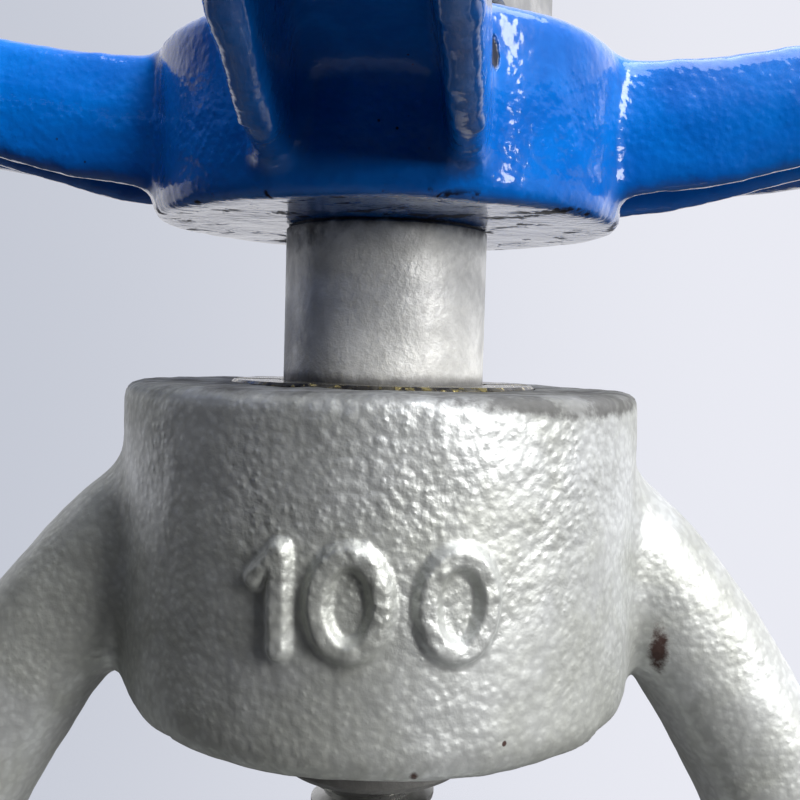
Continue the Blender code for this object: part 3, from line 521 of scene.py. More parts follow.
def start_group(name, vectors, floats, outputs):
    """A new shader group: its wiring, its inputs' sockets, and a function that feeds its outputs."""
    tree = bpy.data.node_groups.new(name, "ShaderNodeTree")
    for label in vectors:
        tree.interface.new_socket(label, in_out="INPUT", socket_type="NodeSocketVector")
    for label, default in floats.items():
        socket = tree.interface.new_socket(label, in_out="INPUT", socket_type="NodeSocketFloat")
        socket.default_value = default
    for label in outputs:
        tree.interface.new_socket(label, in_out="OUTPUT", socket_type="NodeSocketFloat")
    wires = Wiring(tree)
    sockets = wires.node("NodeGroupInput").outputs
    result = wires.node("NodeGroupOutput")
    return wires, sockets, lambda **links: feed(wires, result, **links)


def make_groups():
    """Effects that several materials share. Heights are in millimetres."""
    wires, given, finish = start_group("cast skin", ["Place"], {"Grain Scale": 900.0, "Grain": 0.1,
                                                                "Lumps": 0.1}, ["Height", "Pits"])
    # round pebbles a millimetre or so across, with a finer grain on them
    patchy = wires.remap(wires.noise(given["Place"], 70.0, 2.0), 0.35, 0.65, 0.6, 1.15)
    domes = wires.cells(given["Place"], given["Grain Scale"])
    fine = wires.noise(given["Place"], wires.times(given["Grain Scale"], 1.5), 2.0, 0.5)
    grain = wires.plus(wires.times(fine, 0.55), wires.times(domes, -1.3))
    grain = wires.times(wires.times(grain, given["Grain"]), patchy)
    lumps = wires.times(wires.noise(given["Place"], 260.0, 1.0, 0.4), given["Lumps"])
    finish(Height=wires.plus(grain, lumps), Pits=wires.remap(domes, 0.30, 0.55))

    wires, given, finish = start_group("blotches", ["Place"], {"Scale": 60.0, "Low": 0.4, "High": 0.65},
                                       ["Mask"])
    spread = wires.noise(given["Place"], given["Scale"], 5.0, 0.62, 0.4)
    finish(Mask=wires.remap(spread, given["Low"], given["High"]))

    # a band that thickens towards a height and breaks up at its border: dirt on the boss, and painted shade
    # with grease on the sleeve under the hub
    wires, given, finish = start_group("dirt and shade line", ["Place"], {"Height": 0.0, "Depth": 0.004,
                                                                "Break": 0.003}, ["Mask"])
    height = wires.node("ShaderNodeSeparateXYZ", {0: given["Place"]}).outputs["Z"]
    ragged = wires.minus(wires.noise(given["Place"], 260.0, 4.0, 0.65), 0.5)
    level = wires.minus(wires.plus(height, wires.times(ragged, given["Break"])), given["Height"])
    finish(Mask=wires.remap(wires.math("DIVIDE", level, given["Depth"]), -1.0, 0.0))

    # a patch round a point, with a ragged border
    wires, given, finish = start_group("spot", ["Place", "Centre", "Stretch"],
                                       {"Radius": 0.003, "Break": 0.5}, ["Mask"])
    apart = wires.node("ShaderNodeVectorMath", {0: given["Place"], 1: given["Centre"]}, operation="SUBTRACT")
    shaped = wires.node("ShaderNodeVectorMath", {0: apart.outputs[0], 1: given["Stretch"]},
                        operation="MULTIPLY")
    reach = wires.node("ShaderNodeVectorMath", {0: shaped.outputs[0]}, operation="LENGTH").outputs["Value"]
    ragged = wires.minus(wires.noise(given["Place"], 450.0, 4.0, 0.7), 0.5)
    share = wires.plus(wires.math("DIVIDE", reach, given["Radius"]), wires.times(ragged, given["Break"]))
    finish(Mask=wires.remap(share, 1.0, 0.6))

    # fine grooves round the stem's axis, on faces that stand and on faces that lie
    wires, given, finish = start_group("turning marks", ["Place"], {"Pitch Scale": 900.0, "Depth": 0.01},
                                       ["Height"])
    parts = wires.node("ShaderNodeSeparateXYZ", {0: given["Place"]}).outputs
    flat = wires.node("ShaderNodeCombineXYZ", {"X": parts["X"], "Y": parts["Y"]})
    radius = wires.node("ShaderNodeVectorMath", {0: flat.outputs[0]}, operation="LENGTH").outputs["Value"]
    run = wires.times(wires.plus(parts["Z"], radius), given["Pitch Scale"])
    lane = wires.node("ShaderNodeTexNoise", {"W": run, "Scale": 1.0, "Detail": 3.0}, noise_dimensions="1D")
    finish(Height=wires.times(lane.outputs["Fac"], given["Depth"]))


def start_material(name, metallic, roughness, **constants):
    """A material with its Principled shader, and the wiring and coordinates to feed it."""
    mat = bpy.data.materials.new(name)
    mat.use_nodes = True
    wires = Wiring(mat.node_tree)
    shader = mat.node_tree.nodes["Principled BSDF"]
    shader.inputs["Metallic"].default_value = metallic
    shader.inputs["Roughness"].default_value = roughness
    for key, value in constants.items():
        shader.inputs[key.replace("_", " ")].default_value = value
    place = wires.node("ShaderNodeTexCoord").outputs["Object"]
    return mat, wires, shader, place


def bump(wires, height):
    """A bump from a height in millimetres."""
    return wires.node("ShaderNodeBump", {"Height": height, "Distance": 0.001, "Strength": 1.0}).outputs[0]


def made_once(make):
    """Has a material made the first time that it's asked for, and found after that."""
    def wanted():
        return bpy.data.materials.get(make.__name__) or make(make.__name__)
    return wanted


@made_once
def silver_painted_casting(name):
    """Aluminium paint on a sand casting: pebbly, darker in the pits of its skin, and dirty near the bearing.
    """
    metallic = 0.62
    tone = of("valve_finishes")
    silver, grime = tuple(tone.silver), tuple(tone.grime)
    mat, wires, shader, place = start_material(name, metallic, 0.50)
    rougher = wires.spot(place, (0.006, -0.040, BOSS_TOP - 0.010), (0.8, 0.5, 1.0), 0.026, 0.6)
    skin = wires.group("cast skin", {"Place": place, "Grain Scale": 880.0, "Lumps": 0.20,
                                     "Grain": wires.remap(rougher, 0.0, 1.0, 0.10, 0.20)})
    darker = tuple(c * s for c, s in zip(silver, (0.72, 0.72, 0.68)))
    cloud = wires.blotches(place, 45.0, 0.38, 0.66)
    base = wires.blend(cloud, darker, silver)
    # the pits between the pebbles are drawn darker
    base = wires.blend(wires.times(skin["Pits"], 0.22), base, tuple(c * 0.38 for c in silver))

    # oily dirt round the boss's upper edge, and more of it at the right
    dirt = wires.dirt_line(place, BOSS_TOP + 0.0012, 0.0034, 0.0030)
    stain = wires.spot(place, (0.027, -0.028, BOSS_TOP), (0.6, 0.6, 5.0), 0.018, 0.6)
    dirt = wires.most(dirt, wires.times(stain, 0.85))
    film = wires.blotches(place, 150.0, 0.40, 0.60)
    dirt = wires.times(dirt, wires.remap(film, 0.0, 1.0, 0.72, 0.97))
    base = wires.blend(dirt, base, grime)

    # one large rust spot on the right arm and three specks under the numerals
    rust = wires.spot(place, (0.0428, -0.0145, BOSS_TOP - 0.0402), (1.6, 0.6, 0.56), 0.0036, 0.9)
    for centre, stretch, radius in (((0.0035, -0.0398, BOSS_TOP - 0.0478), (1.0, 0.6, 0.8), 0.0010),
                                    ((0.0345, -0.0200, BOSS_TOP - 0.0475), (1.0, 0.6, 1.0), 0.0010),
                                    ((0.0150, -0.0372, BOSS_TOP - 0.0440), (1.2, 0.4, 1.0), 0.0005)):
        rust = wires.most(rust, wires.spot(place, centre, stretch, radius, 0.9))
    base = wires.blend(rust, base, tuple(tone.rust))
    dull = wires.most(rust, dirt)
    rough = wires.plus(wires.remap(cloud, 0.0, 1.0, 0.54, 0.46), wires.times(dull, 0.35), clamp=True)
    metal = wires.minus(metallic, wires.times(dull, 0.6), clamp=True)
    feed(wires, shader, Base_Color=base, Roughness=rough, Metallic=metal, Normal=bump(wires, skin["Height"]))
    return mat


@made_once
def blue_enamel_coat(name):
    """Thick glossy enamel over a cast wheel, wrinkled at its grain, chipped, and patchy under the hub."""
    enamel = tuple(of("valve_finishes").enamel)
    mat, wires, shader, place = start_material(name, 0.0, 0.28, Coat_Weight=1.0, Coat_Roughness=0.05,
                                               Coat_IOR=1.4, Specular_IOR_Level=0.15)
    skin = wires.group("cast skin", {"Place": place, "Grain Scale": 900.0, "Grain": 0.065, "Lumps": 0.13})
    cloud = wires.blotches(place, 90.0, 0.35, 0.7)
    base = wires.blend(cloud, tuple(c * s for c, s in zip(enamel, (1.0, 0.72, 0.80))), enamel)
    specks = wires.remap(wires.cells(place, 420.0, "F1"), 0.10, 0.06)
    specks = wires.times(specks, wires.remap(wires.noise(place, 120.0, 2.0), 0.60, 0.66))
    chip = wires.spot(place, (0.0112, -0.0345, HUB_BOTTOM + 0.0182), (1.5, 1.0, 0.6), 0.0016, 0.7)
    height = wires.node("ShaderNodeSeparateXYZ", {0: place}).outputs["Z"]
    below = wires.remap(height, HUB_BOTTOM + 0.0016, HUB_BOTTOM + 0.0004)
    bare = wires.times(below, wires.blotches(place, 140.0, 0.55, 0.60))
    worn = wires.most(wires.most(specks, chip), bare)
    base = wires.blend(worn, base, (0.004, 0.008, 0.026))
    normal = bump(wires, wires.minus(skin["Height"], wires.times(chip, 0.25)))
    feed(wires, shader, Base_Color=base, Roughness=wires.remap(worn, 0.0, 1.0, 0.26, 0.6),
         Coat_Weight=wires.minus(1.0, wires.times(bare, 0.9)), Normal=normal, Coat_Normal=normal)
    return mat


def bare_metal(name, tint, roughness, pitch_scale, depth, mottled, metallic=1.0, grit=0.045):
    """Turned or plated metal, mottled. Gives the material, its wiring, shader, place and base colour."""
    mat, wires, shader, place = start_material(name, metallic, roughness)
    cloud = wires.blotches(place, 130.0, 0.36, 0.66)
    base = wires.blend(cloud, tuple(c * mottled for c in tint), tint)
    fine = wires.blotches(place, 700.0, 0.45, 0.75)
    base = wires.blend(wires.times(fine, 0.35), base, tuple(c * 0.6 for c in tint))
    marks = wires.group("turning marks", {"Place": place, "Pitch Scale": pitch_scale, "Depth": depth})
    height = wires.plus(marks["Height"], wires.times(wires.noise(place, 800.0, 4.0, 0.65), grit))
    feed(wires, shader, Base_Color=base, Normal=bump(wires, height),
         Roughness=wires.remap(cloud, 0.0, 1.0, roughness + 0.10, roughness - 0.04))
    return mat, wires, shader, place, base


@made_once
def turned_sleeve(name):
    """The stem nut's sleeve: dull and smeared with grease, with painted shade in the grease under the hub,
    and darker where it goes into the boss.
    """
    metallic = 0.25
    tone = of("valve_finishes")
    mat, wires, shader, place, base = bare_metal(name, tuple(1.9 * c for c in tone.steel), 0.46, 1200.0,
                                                 0.004, 0.68, metallic, grit=0.20)
    grease_and_shade = wires.blotches(place, 75.0, 0.44, 0.60)
    # grease that thickens towards the hub, with painted shade under the hub mixed in
    upper = wires.dirt_line(place, HUB_BOTTOM, 0.007, 0.008)
    upside_down = wires.node("ShaderNodeVectorMath", {0: place, 1: (1.0, 1.0, -1.0)}, operation="MULTIPLY")
    # darker where the sleeve goes into the boss
    foot = wires.dirt_line(upside_down.outputs[0], -BOSS_TOP - 0.0006, 0.0022, 0.0015)
    # a dark band right at the hub: painted shade over grease
    crust_and_painted_shade = wires.dirt_line(place, HUB_BOTTOM, 0.0022, 0.0035)
    grease_and_shade = wires.times(grease_and_shade, wires.remap(upper, 0.0, 1.0, 0.08, 0.80))
    grease_and_shade = wires.most(grease_and_shade, wires.times(foot, 0.8))
    grease_and_shade = wires.most(grease_and_shade, wires.times(crust_and_painted_shade, 0.9))
    feed(wires, shader, Base_Color=wires.blend(grease_and_shade, base, tuple(tone.grime)),
         Metallic=wires.minus(metallic, wires.times(grease_and_shade, 0.5), clamp=True))
    return mat


@made_once
def machined_steel_bare(name):
    return bare_metal(name, tuple(of("valve_finishes").steel), 0.30, 1800.0, 0.010, 0.78)[0]


@made_once
def machined_iron(name):
    return bare_metal(name, (0.34, 0.33, 0.32), 0.38, 1500.0, 0.012, 0.75)[0]


@made_once
def stainless_brushed(name):
    return bare_metal(name, tuple(of("valve_finishes").stainless), 0.24, 900.0, 0.004, 0.88)[0]


@made_once
def zinc_plated(name):
    return bare_metal(name, tuple(of("valve_finishes").zinc), 0.27, 700.0, 0.003, 0.80)[0]


@made_once
def bearing_bronze(name):
    return bare_metal(name, (0.52, 0.33, 0.14), 0.34, 1400.0, 0.006, 0.75)[0]


@made_once
def greased_ring(name):
    """Steel ring under dark oil, with yellow grease standing in beads."""
    mat, wires, shader, place = start_material(name, 0.6, 0.3, Coat_Weight=0.6, Coat_Roughness=0.12)
    film = wires.blotches(place, 220.0, 0.40, 0.58)
    base = wires.blend(film, (0.16, 0.15, 0.12), tuple(of("valve_finishes").grime))
    beads = wires.blotches(place, 620.0, 0.52, 0.60)
    base = wires.blend(beads, base, (0.48, 0.40, 0.17))
    height = wires.plus(wires.times(beads, 0.25), wires.times(wires.noise(place, 900.0, 3.0), 0.10))
    feed(wires, shader, Base_Color=base, Roughness=wires.remap(beads, 0.0, 1.0, 0.42, 0.16),
         Normal=bump(wires, height))
    return mat


@made_once
def seat_rubber_black(name):
    mat, wires, shader, place = start_material(name, 0.0, 0.55)
    cloud = wires.blotches(place, 160.0, 0.35, 0.7)
    base = wires.blend(cloud, (0.016, 0.016, 0.017), (0.034, 0.034, 0.035))
    feed(wires, shader, Base_Color=base, Roughness=wires.remap(cloud, 0.0, 1.0, 0.5, 0.66),
         Normal=bump(wires, wires.times(wires.noise(place, 1800.0, 2.0), 0.03)))
    return mat


@made_once
def graphited_braid(name):
    """Graphited braid: two crossing sets of strands."""
    mat, wires, shader, place = start_material(name, 0.1, 0.62)
    waves = []
    for direction in ((1.0, 1.0, 1.0), (1.0, 1.0, -1.0)):
        turned = wires.node("ShaderNodeVectorMath", {0: place, 1: direction}, operation="DOT_PRODUCT")
        waves.append(wires.math("SINE", wires.times(turned.outputs["Value"], 3200.0)))
    strands = wires.most(*waves)
    base = wires.blend(wires.remap(strands, -0.2, 1.0), (0.012, 0.012, 0.012), (0.11, 0.11, 0.10))
    feed(wires, shader, Base_Color=base, Normal=bump(wires, wires.times(strands, 0.18)))
    return mat


# ---------------------------------------------------------------- threads and fasteners
def threaded_rod(bm, radius, pitch, bottom, top, depth_share=0.54, crest_share=0.16, steps=28,
                 plain_below=None, plain_above=None, chamfer=None):
    """A rod with a real helix, and plain below or above a height."""
    depth = depth_share * pitch
    chamfer = depth if chamfer is None else chamfer
    crest = crest_share * pitch
    flank = (pitch - 2 * crest) / 2
    turns = math.ceil((top - bottom) / pitch) + 2
    base = bottom - pitch
    profile = [(radius - depth, base), (radius - depth, base + crest), (radius, base + crest + flank),
               (radius, base + 2 * crest + flank), (radius - depth, base + pitch)]
    shape = bmesh.new()
    verts = [shape.verts.new((r, 0.0, z)) for r, z in profile]
    edges = [shape.edges.new(pair) for pair in zip(verts, verts[1:])]
    bmesh.ops.spin(shape, geom=verts + edges, cent=(0, 0, 0), axis=(0, 0, 1), dvec=(0, 0, pitch / steps),
                   angle=math.tau, steps=steps)
    one_turn = list(shape.verts) + list(shape.edges) + list(shape.faces)
    for turn in range(1, turns):
        made = bmesh.ops.duplicate(shape, geom=one_turn)
        moved = [v for v in made["geom"] if isinstance(v, bmesh.types.BMVert)]
        bmesh.ops.translate(shape, vec=(0, 0, turn * pitch), verts=moved)
    bmesh.ops.remove_doubles(shape, verts=shape.verts, dist=pitch * 0.01)
    for height, side in ((bottom, -1.0), (top, 1.0)):
        every = list(shape.verts) + list(shape.edges) + list(shape.faces)
        bmesh.ops.bisect_plane(shape, geom=every, dist=1e-7, plane_co=(0, 0, height),
                               plane_no=(0, 0, side), clear_outer=True)
        rim = [e for e in shape.edges if e.is_boundary and all(abs(v.co.z - height) < 1e-6 for v in e.verts)]
        bmesh.ops.holes_fill(shape, edges=rim, sides=0)
    for vert in shape.verts:
        reach = math.hypot(vert.co.x, vert.co.y)
        most = radius - max(0.0, chamfer - (vert.co.z - bottom), chamfer - (top - vert.co.z))
        plain = ((plain_below is not None and vert.co.z < plain_below)
                 or (plain_above is not None and vert.co.z > plain_above))
        wanted = most if plain else min(reach, most)
        vert.co.x *= wanted / reach
        vert.co.y *= wanted / reach
    add_shape(bm, shape)


def hexagon(flats):
    """Outline of a hexagon by its width across flats."""
    corner = flats / math.sqrt(3.0)
    return [(corner * math.cos(math.radians(60.0 * i)), corner * math.sin(math.radians(60.0 * i)))
            for i in range(6)]


def hex_block(name, flats, bottom, top, both_ends=True):
    """A hexagon whose corners are turned off at one or both ends."""
    bm = bmesh.new()
    prism(bm, hexagon(flats), bottom, top)
    block = to_object(name, bm)
    corner = flats / math.sqrt(3.0)
    small = flats * 0.47
    drop = (corner - small) * math.tan(math.radians(30.0))
    lower = [(0.0, bottom), (small, bottom), (corner + 1e-4, bottom + drop)]
    if not both_ends:
        lower = [(0.0, bottom - 1e-4), (corner + 1e-4, bottom - 1e-4)]
    bm = bmesh.new()
    lathe(bm, lower + [(corner + 1e-4, top - drop), (small, top), (0.0, top)], steps=72)
    combined(block, bm, "INTERSECT")
    return block


def nut_mesh(flats, height, bore):
    """A nut with its lower face at zero."""
    block = hex_block("nut_pattern", flats, 0.0, height)
    sink = bore * 0.12
    bm = bmesh.new()
    lathe(bm, [(0.0, -1e-3), (bore + sink + 1e-3, -1e-3), (bore, sink), (bore, height - sink),
               (bore + sink + 1e-3, height + 1e-3), (0.0, height + 1e-3)], steps=36)
    combined(block, bm)
    return block


def placed_copy(pattern, name, matrix):
    """Swaps a pattern for a piece of its own, with its place in its mesh."""
    mesh = pattern.data.copy()
    mesh.name = name
    mesh.transform(matrix)
    bpy.data.objects.remove(pattern)
    obj = bpy.data.objects.new(name, mesh)
    bpy.context.scene.collection.objects.link(obj)
    return obj


def nuts(prefix, count, bore, along=None):
    """One nut for each numbered node, sized by the node's box."""
    for i in range(1, count + 1):
        node = f"{prefix}_{i}"
        size = extent(node)
        if along == "Y":
            pattern = nut_mesh(size.z, size.y, bore)
            matrix = at(middle(node).x, high(node).y, middle(node).z) @ Z_TO_Y
        else:
            pattern = nut_mesh(size.y, size.z, bore)
            matrix = at(middle(node).x, middle(node).y, low(node).z)
        made = placed_copy(pattern, f"{node}_hex", matrix)
        finished(made, body_of_node(node), [zinc_plated()], [node])


# ---------------------------------------------------------------- operators
class PieceOperator:
    """Runs build(), which raises an error if a piece can't be made."""

    bl_options = {"REGISTER", "UNDO"}

    def execute(self, context):
        self.build()
        return {"FINISHED"}


class VALVE_OT_yoke(PieceOperator, bpy.types.Operator):
    """Cast yoke: boss with its raised size, two arms and two feet"""

    bl_idname = "valve.yoke"
    bl_label = "Yoke"

    # an arm's centreline: (out from the stem, down from the boss's top), with the pulls of its curve
    root = ((0.020, 0.0086), (0.030, 0.0176))
    shoulder = (0.0402, 0.0268)
    shoulder_pull = 0.035
    upright_inset = 0.004
    upright_drop = 0.190
    upright_pull = 0.080
    squareness = 2.6

    def path(self, side):
        """Points on the centreline of an arm: a straight root, a curve, and straight down to the foot."""
        sizes = of("valve_yoke")
        foot_x = high("yoke").x - sizes.foot_length / 2
        shoulder = Vector((self.shoulder[0], 0.0, BOSS_TOP - self.shoulder[1]))
        upright = Vector((foot_x - self.upright_inset, 0.0, BOSS_TOP - self.upright_drop))
        pull_out = shoulder + self.shoulder_pull * Vector((1.0, 0.0, -1.0)).normalized()
        pull_up = upright + Vector((0.0, 0.0, self.upright_pull))
        points = [Vector((out, 0.0, BOSS_TOP - down)) for out, down in self.root]
        steps = 30
        for i in range(steps + 1):
            t = i / steps
            points.append(shoulder * (1 - t) ** 3 + pull_out * 3 * t * (1 - t) ** 2
                          + pull_up * 3 * t * t * (1 - t) + upright * t ** 3)
        points.append(Vector((upright.x, 0.0, FOOT_BOTTOM + sizes.foot_thickness / 2)))
        return [Vector((side * p.x, p.y, p.z)) for p in points]

    def arm(self, bm, side):
        """An arm of nearly oval section, from inside the boss to inside its foot."""
        sizes = of("valve_yoke")
        path = self.path(side)
        steps = 36
        power = 2 / self.squareness
        sections = []
        for i, spot in enumerate(path):
            ahead = (path[min(i + 1, len(path) - 1)] - path[max(i - 1, 0)]).normalized()
            across = Vector((ahead.z, 0.0, -ahead.x))
            ring = []
            for k in range(steps):
                a = math.tau * k / steps
                u = math.copysign(abs(math.cos(a)) ** power, math.cos(a)) * sizes.arm_width / 2
                v = math.copysign(abs(math.sin(a)) ** power, math.sin(a)) * sizes.arm_depth / 2
                ring.append(spot + across * u + Vector((0.0, v, 0.0)))
            sections.append(ring)
        swept(bm, sections)

    # the size numerals: their middle's drop from the boss's top, and their places round its front
    numeral_drop = 0.0258
    zeros = (-0.0052, 0.0084)
    one = -0.0141
    zero_half_width = 0.0040
    flag = Vector((-0.0034, -0.0036))
    stroke_flat = 0.0007
    stroke_slope = 0.0015

    def from_zero(self, s, up, tall):
        """Distance from a point to the oval line of a zero."""
        a, b = self.zero_half_width, tall - 0.0015
        share = math.hypot(s / a, up / b)
        away = abs(share - 1.0) * share / max(1e-6, math.hypot(s / a / a, up / b / b))
        return min(away, abs(share - 1.0) * min(a, b) * 1.6)

    def from_one(self, s, up, tall):
        """Distance from a point to the upright of a one, or to its slightly thinner flag."""
        top = tall - 0.0014
        upright = math.hypot(s, max(0.0, abs(up) - top))
        spot = Vector((s, up - top))
        along = max(0.0, min(1.0, (spot @ self.flag) / self.flag.length_squared))
        return min(upright, (spot - along * self.flag).length + 0.0003)

    def raise_numerals(self, bm):
        """Lifts the size, 100, out of the boss's front."""
        sizes = of("valve_yoke")
        radius = sizes.boss_radius
        centre_z = BOSS_TOP - self.numeral_drop
        tall = sizes.numeral_height / 2

        def zone(v, spare):
            around = math.atan2(v.co.x, -v.co.y) * radius
            return (v.co.y < 0 and abs(around + 0.002) < 0.0185 + spare
                    and abs(v.co.z - centre_z) < tall + 0.003 + spare
                    and math.hypot(v.co.x, v.co.y) > radius - 0.002)

        edges = [e for e in bm.edges if all(zone(v, 0.001) for v in e.verts)]
        bmesh.ops.subdivide_edges(bm, edges=edges, cuts=2, use_grid_fill=True)
        bm.normal_update()
        for vert in bm.verts:
            if not zone(vert, 0.0):
                continue
            around = math.atan2(vert.co.x, -vert.co.y) * radius
            up = vert.co.z - centre_z
            away = [self.from_zero(around - place, up, tall) for place in self.zeros]
            away.append(self.from_one(around - self.one, up, tall))
            rise = 1.0 - max(0.0, min(1.0, (min(away) - self.stroke_flat) / self.stroke_slope))
            rise = rise * rise * (3 - 2 * rise)
            rough = 1.0 + 0.14 * noise.noise(vert.co * 650.0)
            outward = Vector((vert.co.x, vert.co.y, 0.0)).normalized()
            vert.co += outward * sizes.numeral_relief * rise * rough

    def build(self):
        sizes = of("valve_yoke")
        radius, bottom = sizes.boss_radius, BOSS_TOP - sizes.boss_height
        low_round, top_round = sizes.boss_bottom_round, sizes.boss_top_round
        outline = [(0.0, bottom)]
        outline += arc((radius - low_round, bottom + low_round), low_round, -90.0, 0.0, 6)
        outline += arc((radius - top_round, BOSS_TOP - top_round), top_round, 0.0, 90.0, 4)
        bm = bmesh.new()
        lathe(bm, outline + [(0.0, BOSS_TOP)])
        foot_x = high("yoke").x - sizes.foot_length / 2
        foot_y = high("yoke").y
        machining = 0.0012
        for side in (-1, 1):
            self.arm(bm, side)
            prism(bm, round_box(sizes.foot_length / 2, foot_y, 0.006), FOOT_BOTTOM - machining,
                  FOOT_BOTTOM + sizes.foot_thickness, at(side * foot_x, 0))
        yoke = to_object("yoke_casting", bm)
        cast(yoke, sizes.grain)
        arm_z = FOOT_BOTTOM + sizes.foot_thickness

        def near_boss(p):
            return abs(p.x) > 0.024 and bottom - 0.012 < p.z < BOSS_TOP - 0.008 and abs(p.y) < 0.026

        def near_foot(p):
            return arm_z - 0.003 < p.z < arm_z + 0.010 and abs(p.y) < 0.024

        edit(yoke, lambda bm: softened(bm, 3), lambda bm: softened(bm, 16, near_boss),
             lambda bm: softened(bm, 14, near_foot), lambda bm: lumpy(bm, 0.00022, 0.0075, 3.1),
             self.raise_numerals)
        sleeve = of("valve_handwheel").sleeve_radius + 0.0006
        chamber = high("bearing_retaining_ring").x + GAP
        floor = BOSS_TOP - sizes.chamber_depth
        mouth = 0.0008
        bm = bmesh.new()
        lathe(bm, [(0.0, bottom - PAST), (sleeve + mouth + PAST, bottom - PAST), (sleeve, bottom + mouth),
                   (sleeve, floor), (chamber, floor), (chamber, BOSS_TOP + PAST), (0.0, BOSS_TOP + PAST)])
        for i in range(1, 5):
            spot = middle(f"yoke_bolt_{i}")
            bolt = of("valve_threads").yoke_radius + BOLT_PLAY
            spot_face = extent(f"yoke_washer_{i}").x / 2 + 0.0012
            lathe(bm, [(0.0, FOOT_BOTTOM - PAST), (bolt, FOOT_BOTTOM - PAST), (bolt, arm_z - SPOT_DEPTH),
                       (spot_face, arm_z - SPOT_DEPTH), (spot_face, arm_z + 0.004), (0.0, arm_z + 0.004)],
                  steps=40, matrix=at(spot.x, spot.y))
        combined(yoke, bm)
        bm = bmesh.new()
        for side in (-1, 1):
            prism(bm, round_box(0.03, 0.06, 0.002, 1), FOOT_BOTTOM - 0.004, FOOT_BOTTOM,
                  at(side * foot_x, 0))
        combined(yoke, bm)
        finished(yoke, "body", [silver_painted_casting(), machined_iron()], ["yoke"],
                 CAST_SMOOTH)


class VALVE_OT_handwheel(PieceOperator, bpy.types.Operator):
    """Cast handwheel: hub, channel-shaped spokes and rim"""

    bl_idname = "valve.handwheel"
    bl_label = "Handwheel"

    # a spoke's section on its way from the hub to the rim's middle:
    # share of the way, underside above the hub's, depth, half width
    stations = ((0.00, 0.0038, 0.0200, 0.0150),
                (0.20, 0.0056, 0.0190, 0.0146),
                (0.35, 0.0086, 0.0180, 0.0140),
                (0.50, 0.0118, 0.0173, 0.0134),
                (0.66, 0.0152, 0.0168, 0.0128),
                (0.84, 0.0182, 0.0164, 0.0121),
                (1.00, 0.0196, 0.0150, 0.0118))
    parting_share = 0.56

    def station(self, share):
        """Smoothly read value of every column at a share of the way out."""
        rows = self.stations
        i = max(k for k in range(len(rows) - 1) if rows[k][0] <= share)
        t = (share - rows[i][0]) / (rows[i + 1][0] - rows[i][0])
        values = []
        for column in (1, 2, 3):
            p = [rows[min(max(k, 0), len(rows) - 1)][column] for k in (i - 1, i, i + 1, i + 2)]
            slope_a, slope_b = (p[2] - p[0]) / 2, (p[3] - p[1]) / 2
            values.append((2 * t ** 3 - 3 * t ** 2 + 1) * p[1] + (t ** 3 - 2 * t ** 2 + t) * slope_a
                          + (3 * t ** 2 - 2 * t ** 3) * p[2] + (t ** 3 - t ** 2) * slope_b)
        return values

    def spoke(self, bm, turned, start, end):
        """A channel, open below, that rises from the hub to the rim."""
        sizes = of("valve_handwheel")
        steps = 26
        sections = []
        for i in range(steps + 1):
            under, depth, half = self.station(i / steps)
            out = start + (end - start) * i / steps
            bottom = HUB_BOTTOM + under
            top = bottom + depth
            parting = bottom + self.parting_share * depth
            inner_low, inner_top = half - sizes.rib + 0.0010, half - sizes.rib - 0.0008
            ceiling = top - sizes.web - 0.004 * max(0.0, 1.0 - 3.0 * i / steps) ** 2
            section = [(half - 0.0004, bottom), (half, parting), (half - 0.0022, top), (0.0, top + 0.0004),
                       (0.0022 - half, top), (-half, parting), (0.0004 - half, bottom),
                       (-inner_low, bottom), (-inner_top, ceiling), (inner_top, ceiling),
                       (inner_low, bottom)]
            sections.append([turned @ Vector((out, y, z)) for y, z in section])
        swept(bm, sections)

    def build(self):
        sizes = of("valve_handwheel")
        hub = sizes.hub_radius
        outer = high("handwheel").x - SKIN
        rim_r = outer - sizes.rim_half_width
        rim_z = HUB_BOTTOM + sizes.rim_rise
        bm = bmesh.new()
        outline = [(0.0, HUB_BOTTOM)] + arc((hub - 0.0013, HUB_BOTTOM + 0.0013), 0.0013, -90.0, 0.0, 3)
        outline += arc((hub - 0.0022, HUB_TOP - 0.002), 0.002, 0.0, 90.0, 4) + [(0.0, HUB_TOP)]
        lathe(bm, outline, steps=120)
        section = [(rim_r + sizes.rim_half_width * math.cos(math.tau * i / 28),
                    rim_z + sizes.rim_half_height * math.sin(math.tau * i / 28)) for i in range(28)]
        lathe(bm, section, steps=160)
        for i in range(sizes.spokes):
            turn = Matrix.Rotation(sizes.turn + math.tau * i / sizes.spokes, 3, "Z")
            self.spoke(bm, turn, hub - 0.004, rim_r)
        wheel = to_object("handwheel_casting", bm)
        cast(wheel, sizes.grain)

        def at_hub(p):
            return hub - 0.002 < math.hypot(p.x, p.y) < hub + 0.007 and p.z > HUB_BOTTOM + 0.003

        def at_rim(p):
            return rim_r - 0.016 < math.hypot(p.x, p.y) < rim_r - 0.003

        def on_spokes(p):
            return hub + 0.001 < math.hypot(p.x, p.y) < rim_r - 0.005

        edit(wheel, lambda bm: softened(bm, 2), lambda bm: softened(bm, 4, on_spokes),
             lambda bm: softened(bm, 5, at_hub), lambda bm: softened(bm, 9, at_rim),
             lambda bm: lumpy(bm, 0.00016, 0.010, 7.7))
        seat = high("handwheel_washer").x - SEAT_STEP
        key = extent("handwheel_key").y / 2 + GAP
        bm = bmesh.new()
        lathe(bm, [(0.0, HUB_BOTTOM - PAST), (seat + GAP, HUB_BOTTOM - PAST), (seat + GAP, HUB_TOP + PAST),
                   (0.0, HUB_TOP + PAST)])
        combined(wheel, bm)
        bm = bmesh.new()
        reach = high("handwheel_key").x + GAP
        prism(bm, [(seat - 0.001, -key), (reach, -key), (reach, key), (seat - 0.001, key)],
              low("handwheel_key").z - GAP, HUB_TOP + PAST)
        combined(wheel, bm)
        finished(wheel, "wheel", [blue_enamel_coat(), machined_iron()], ["handwheel"],
                 CAST_SMOOTH)


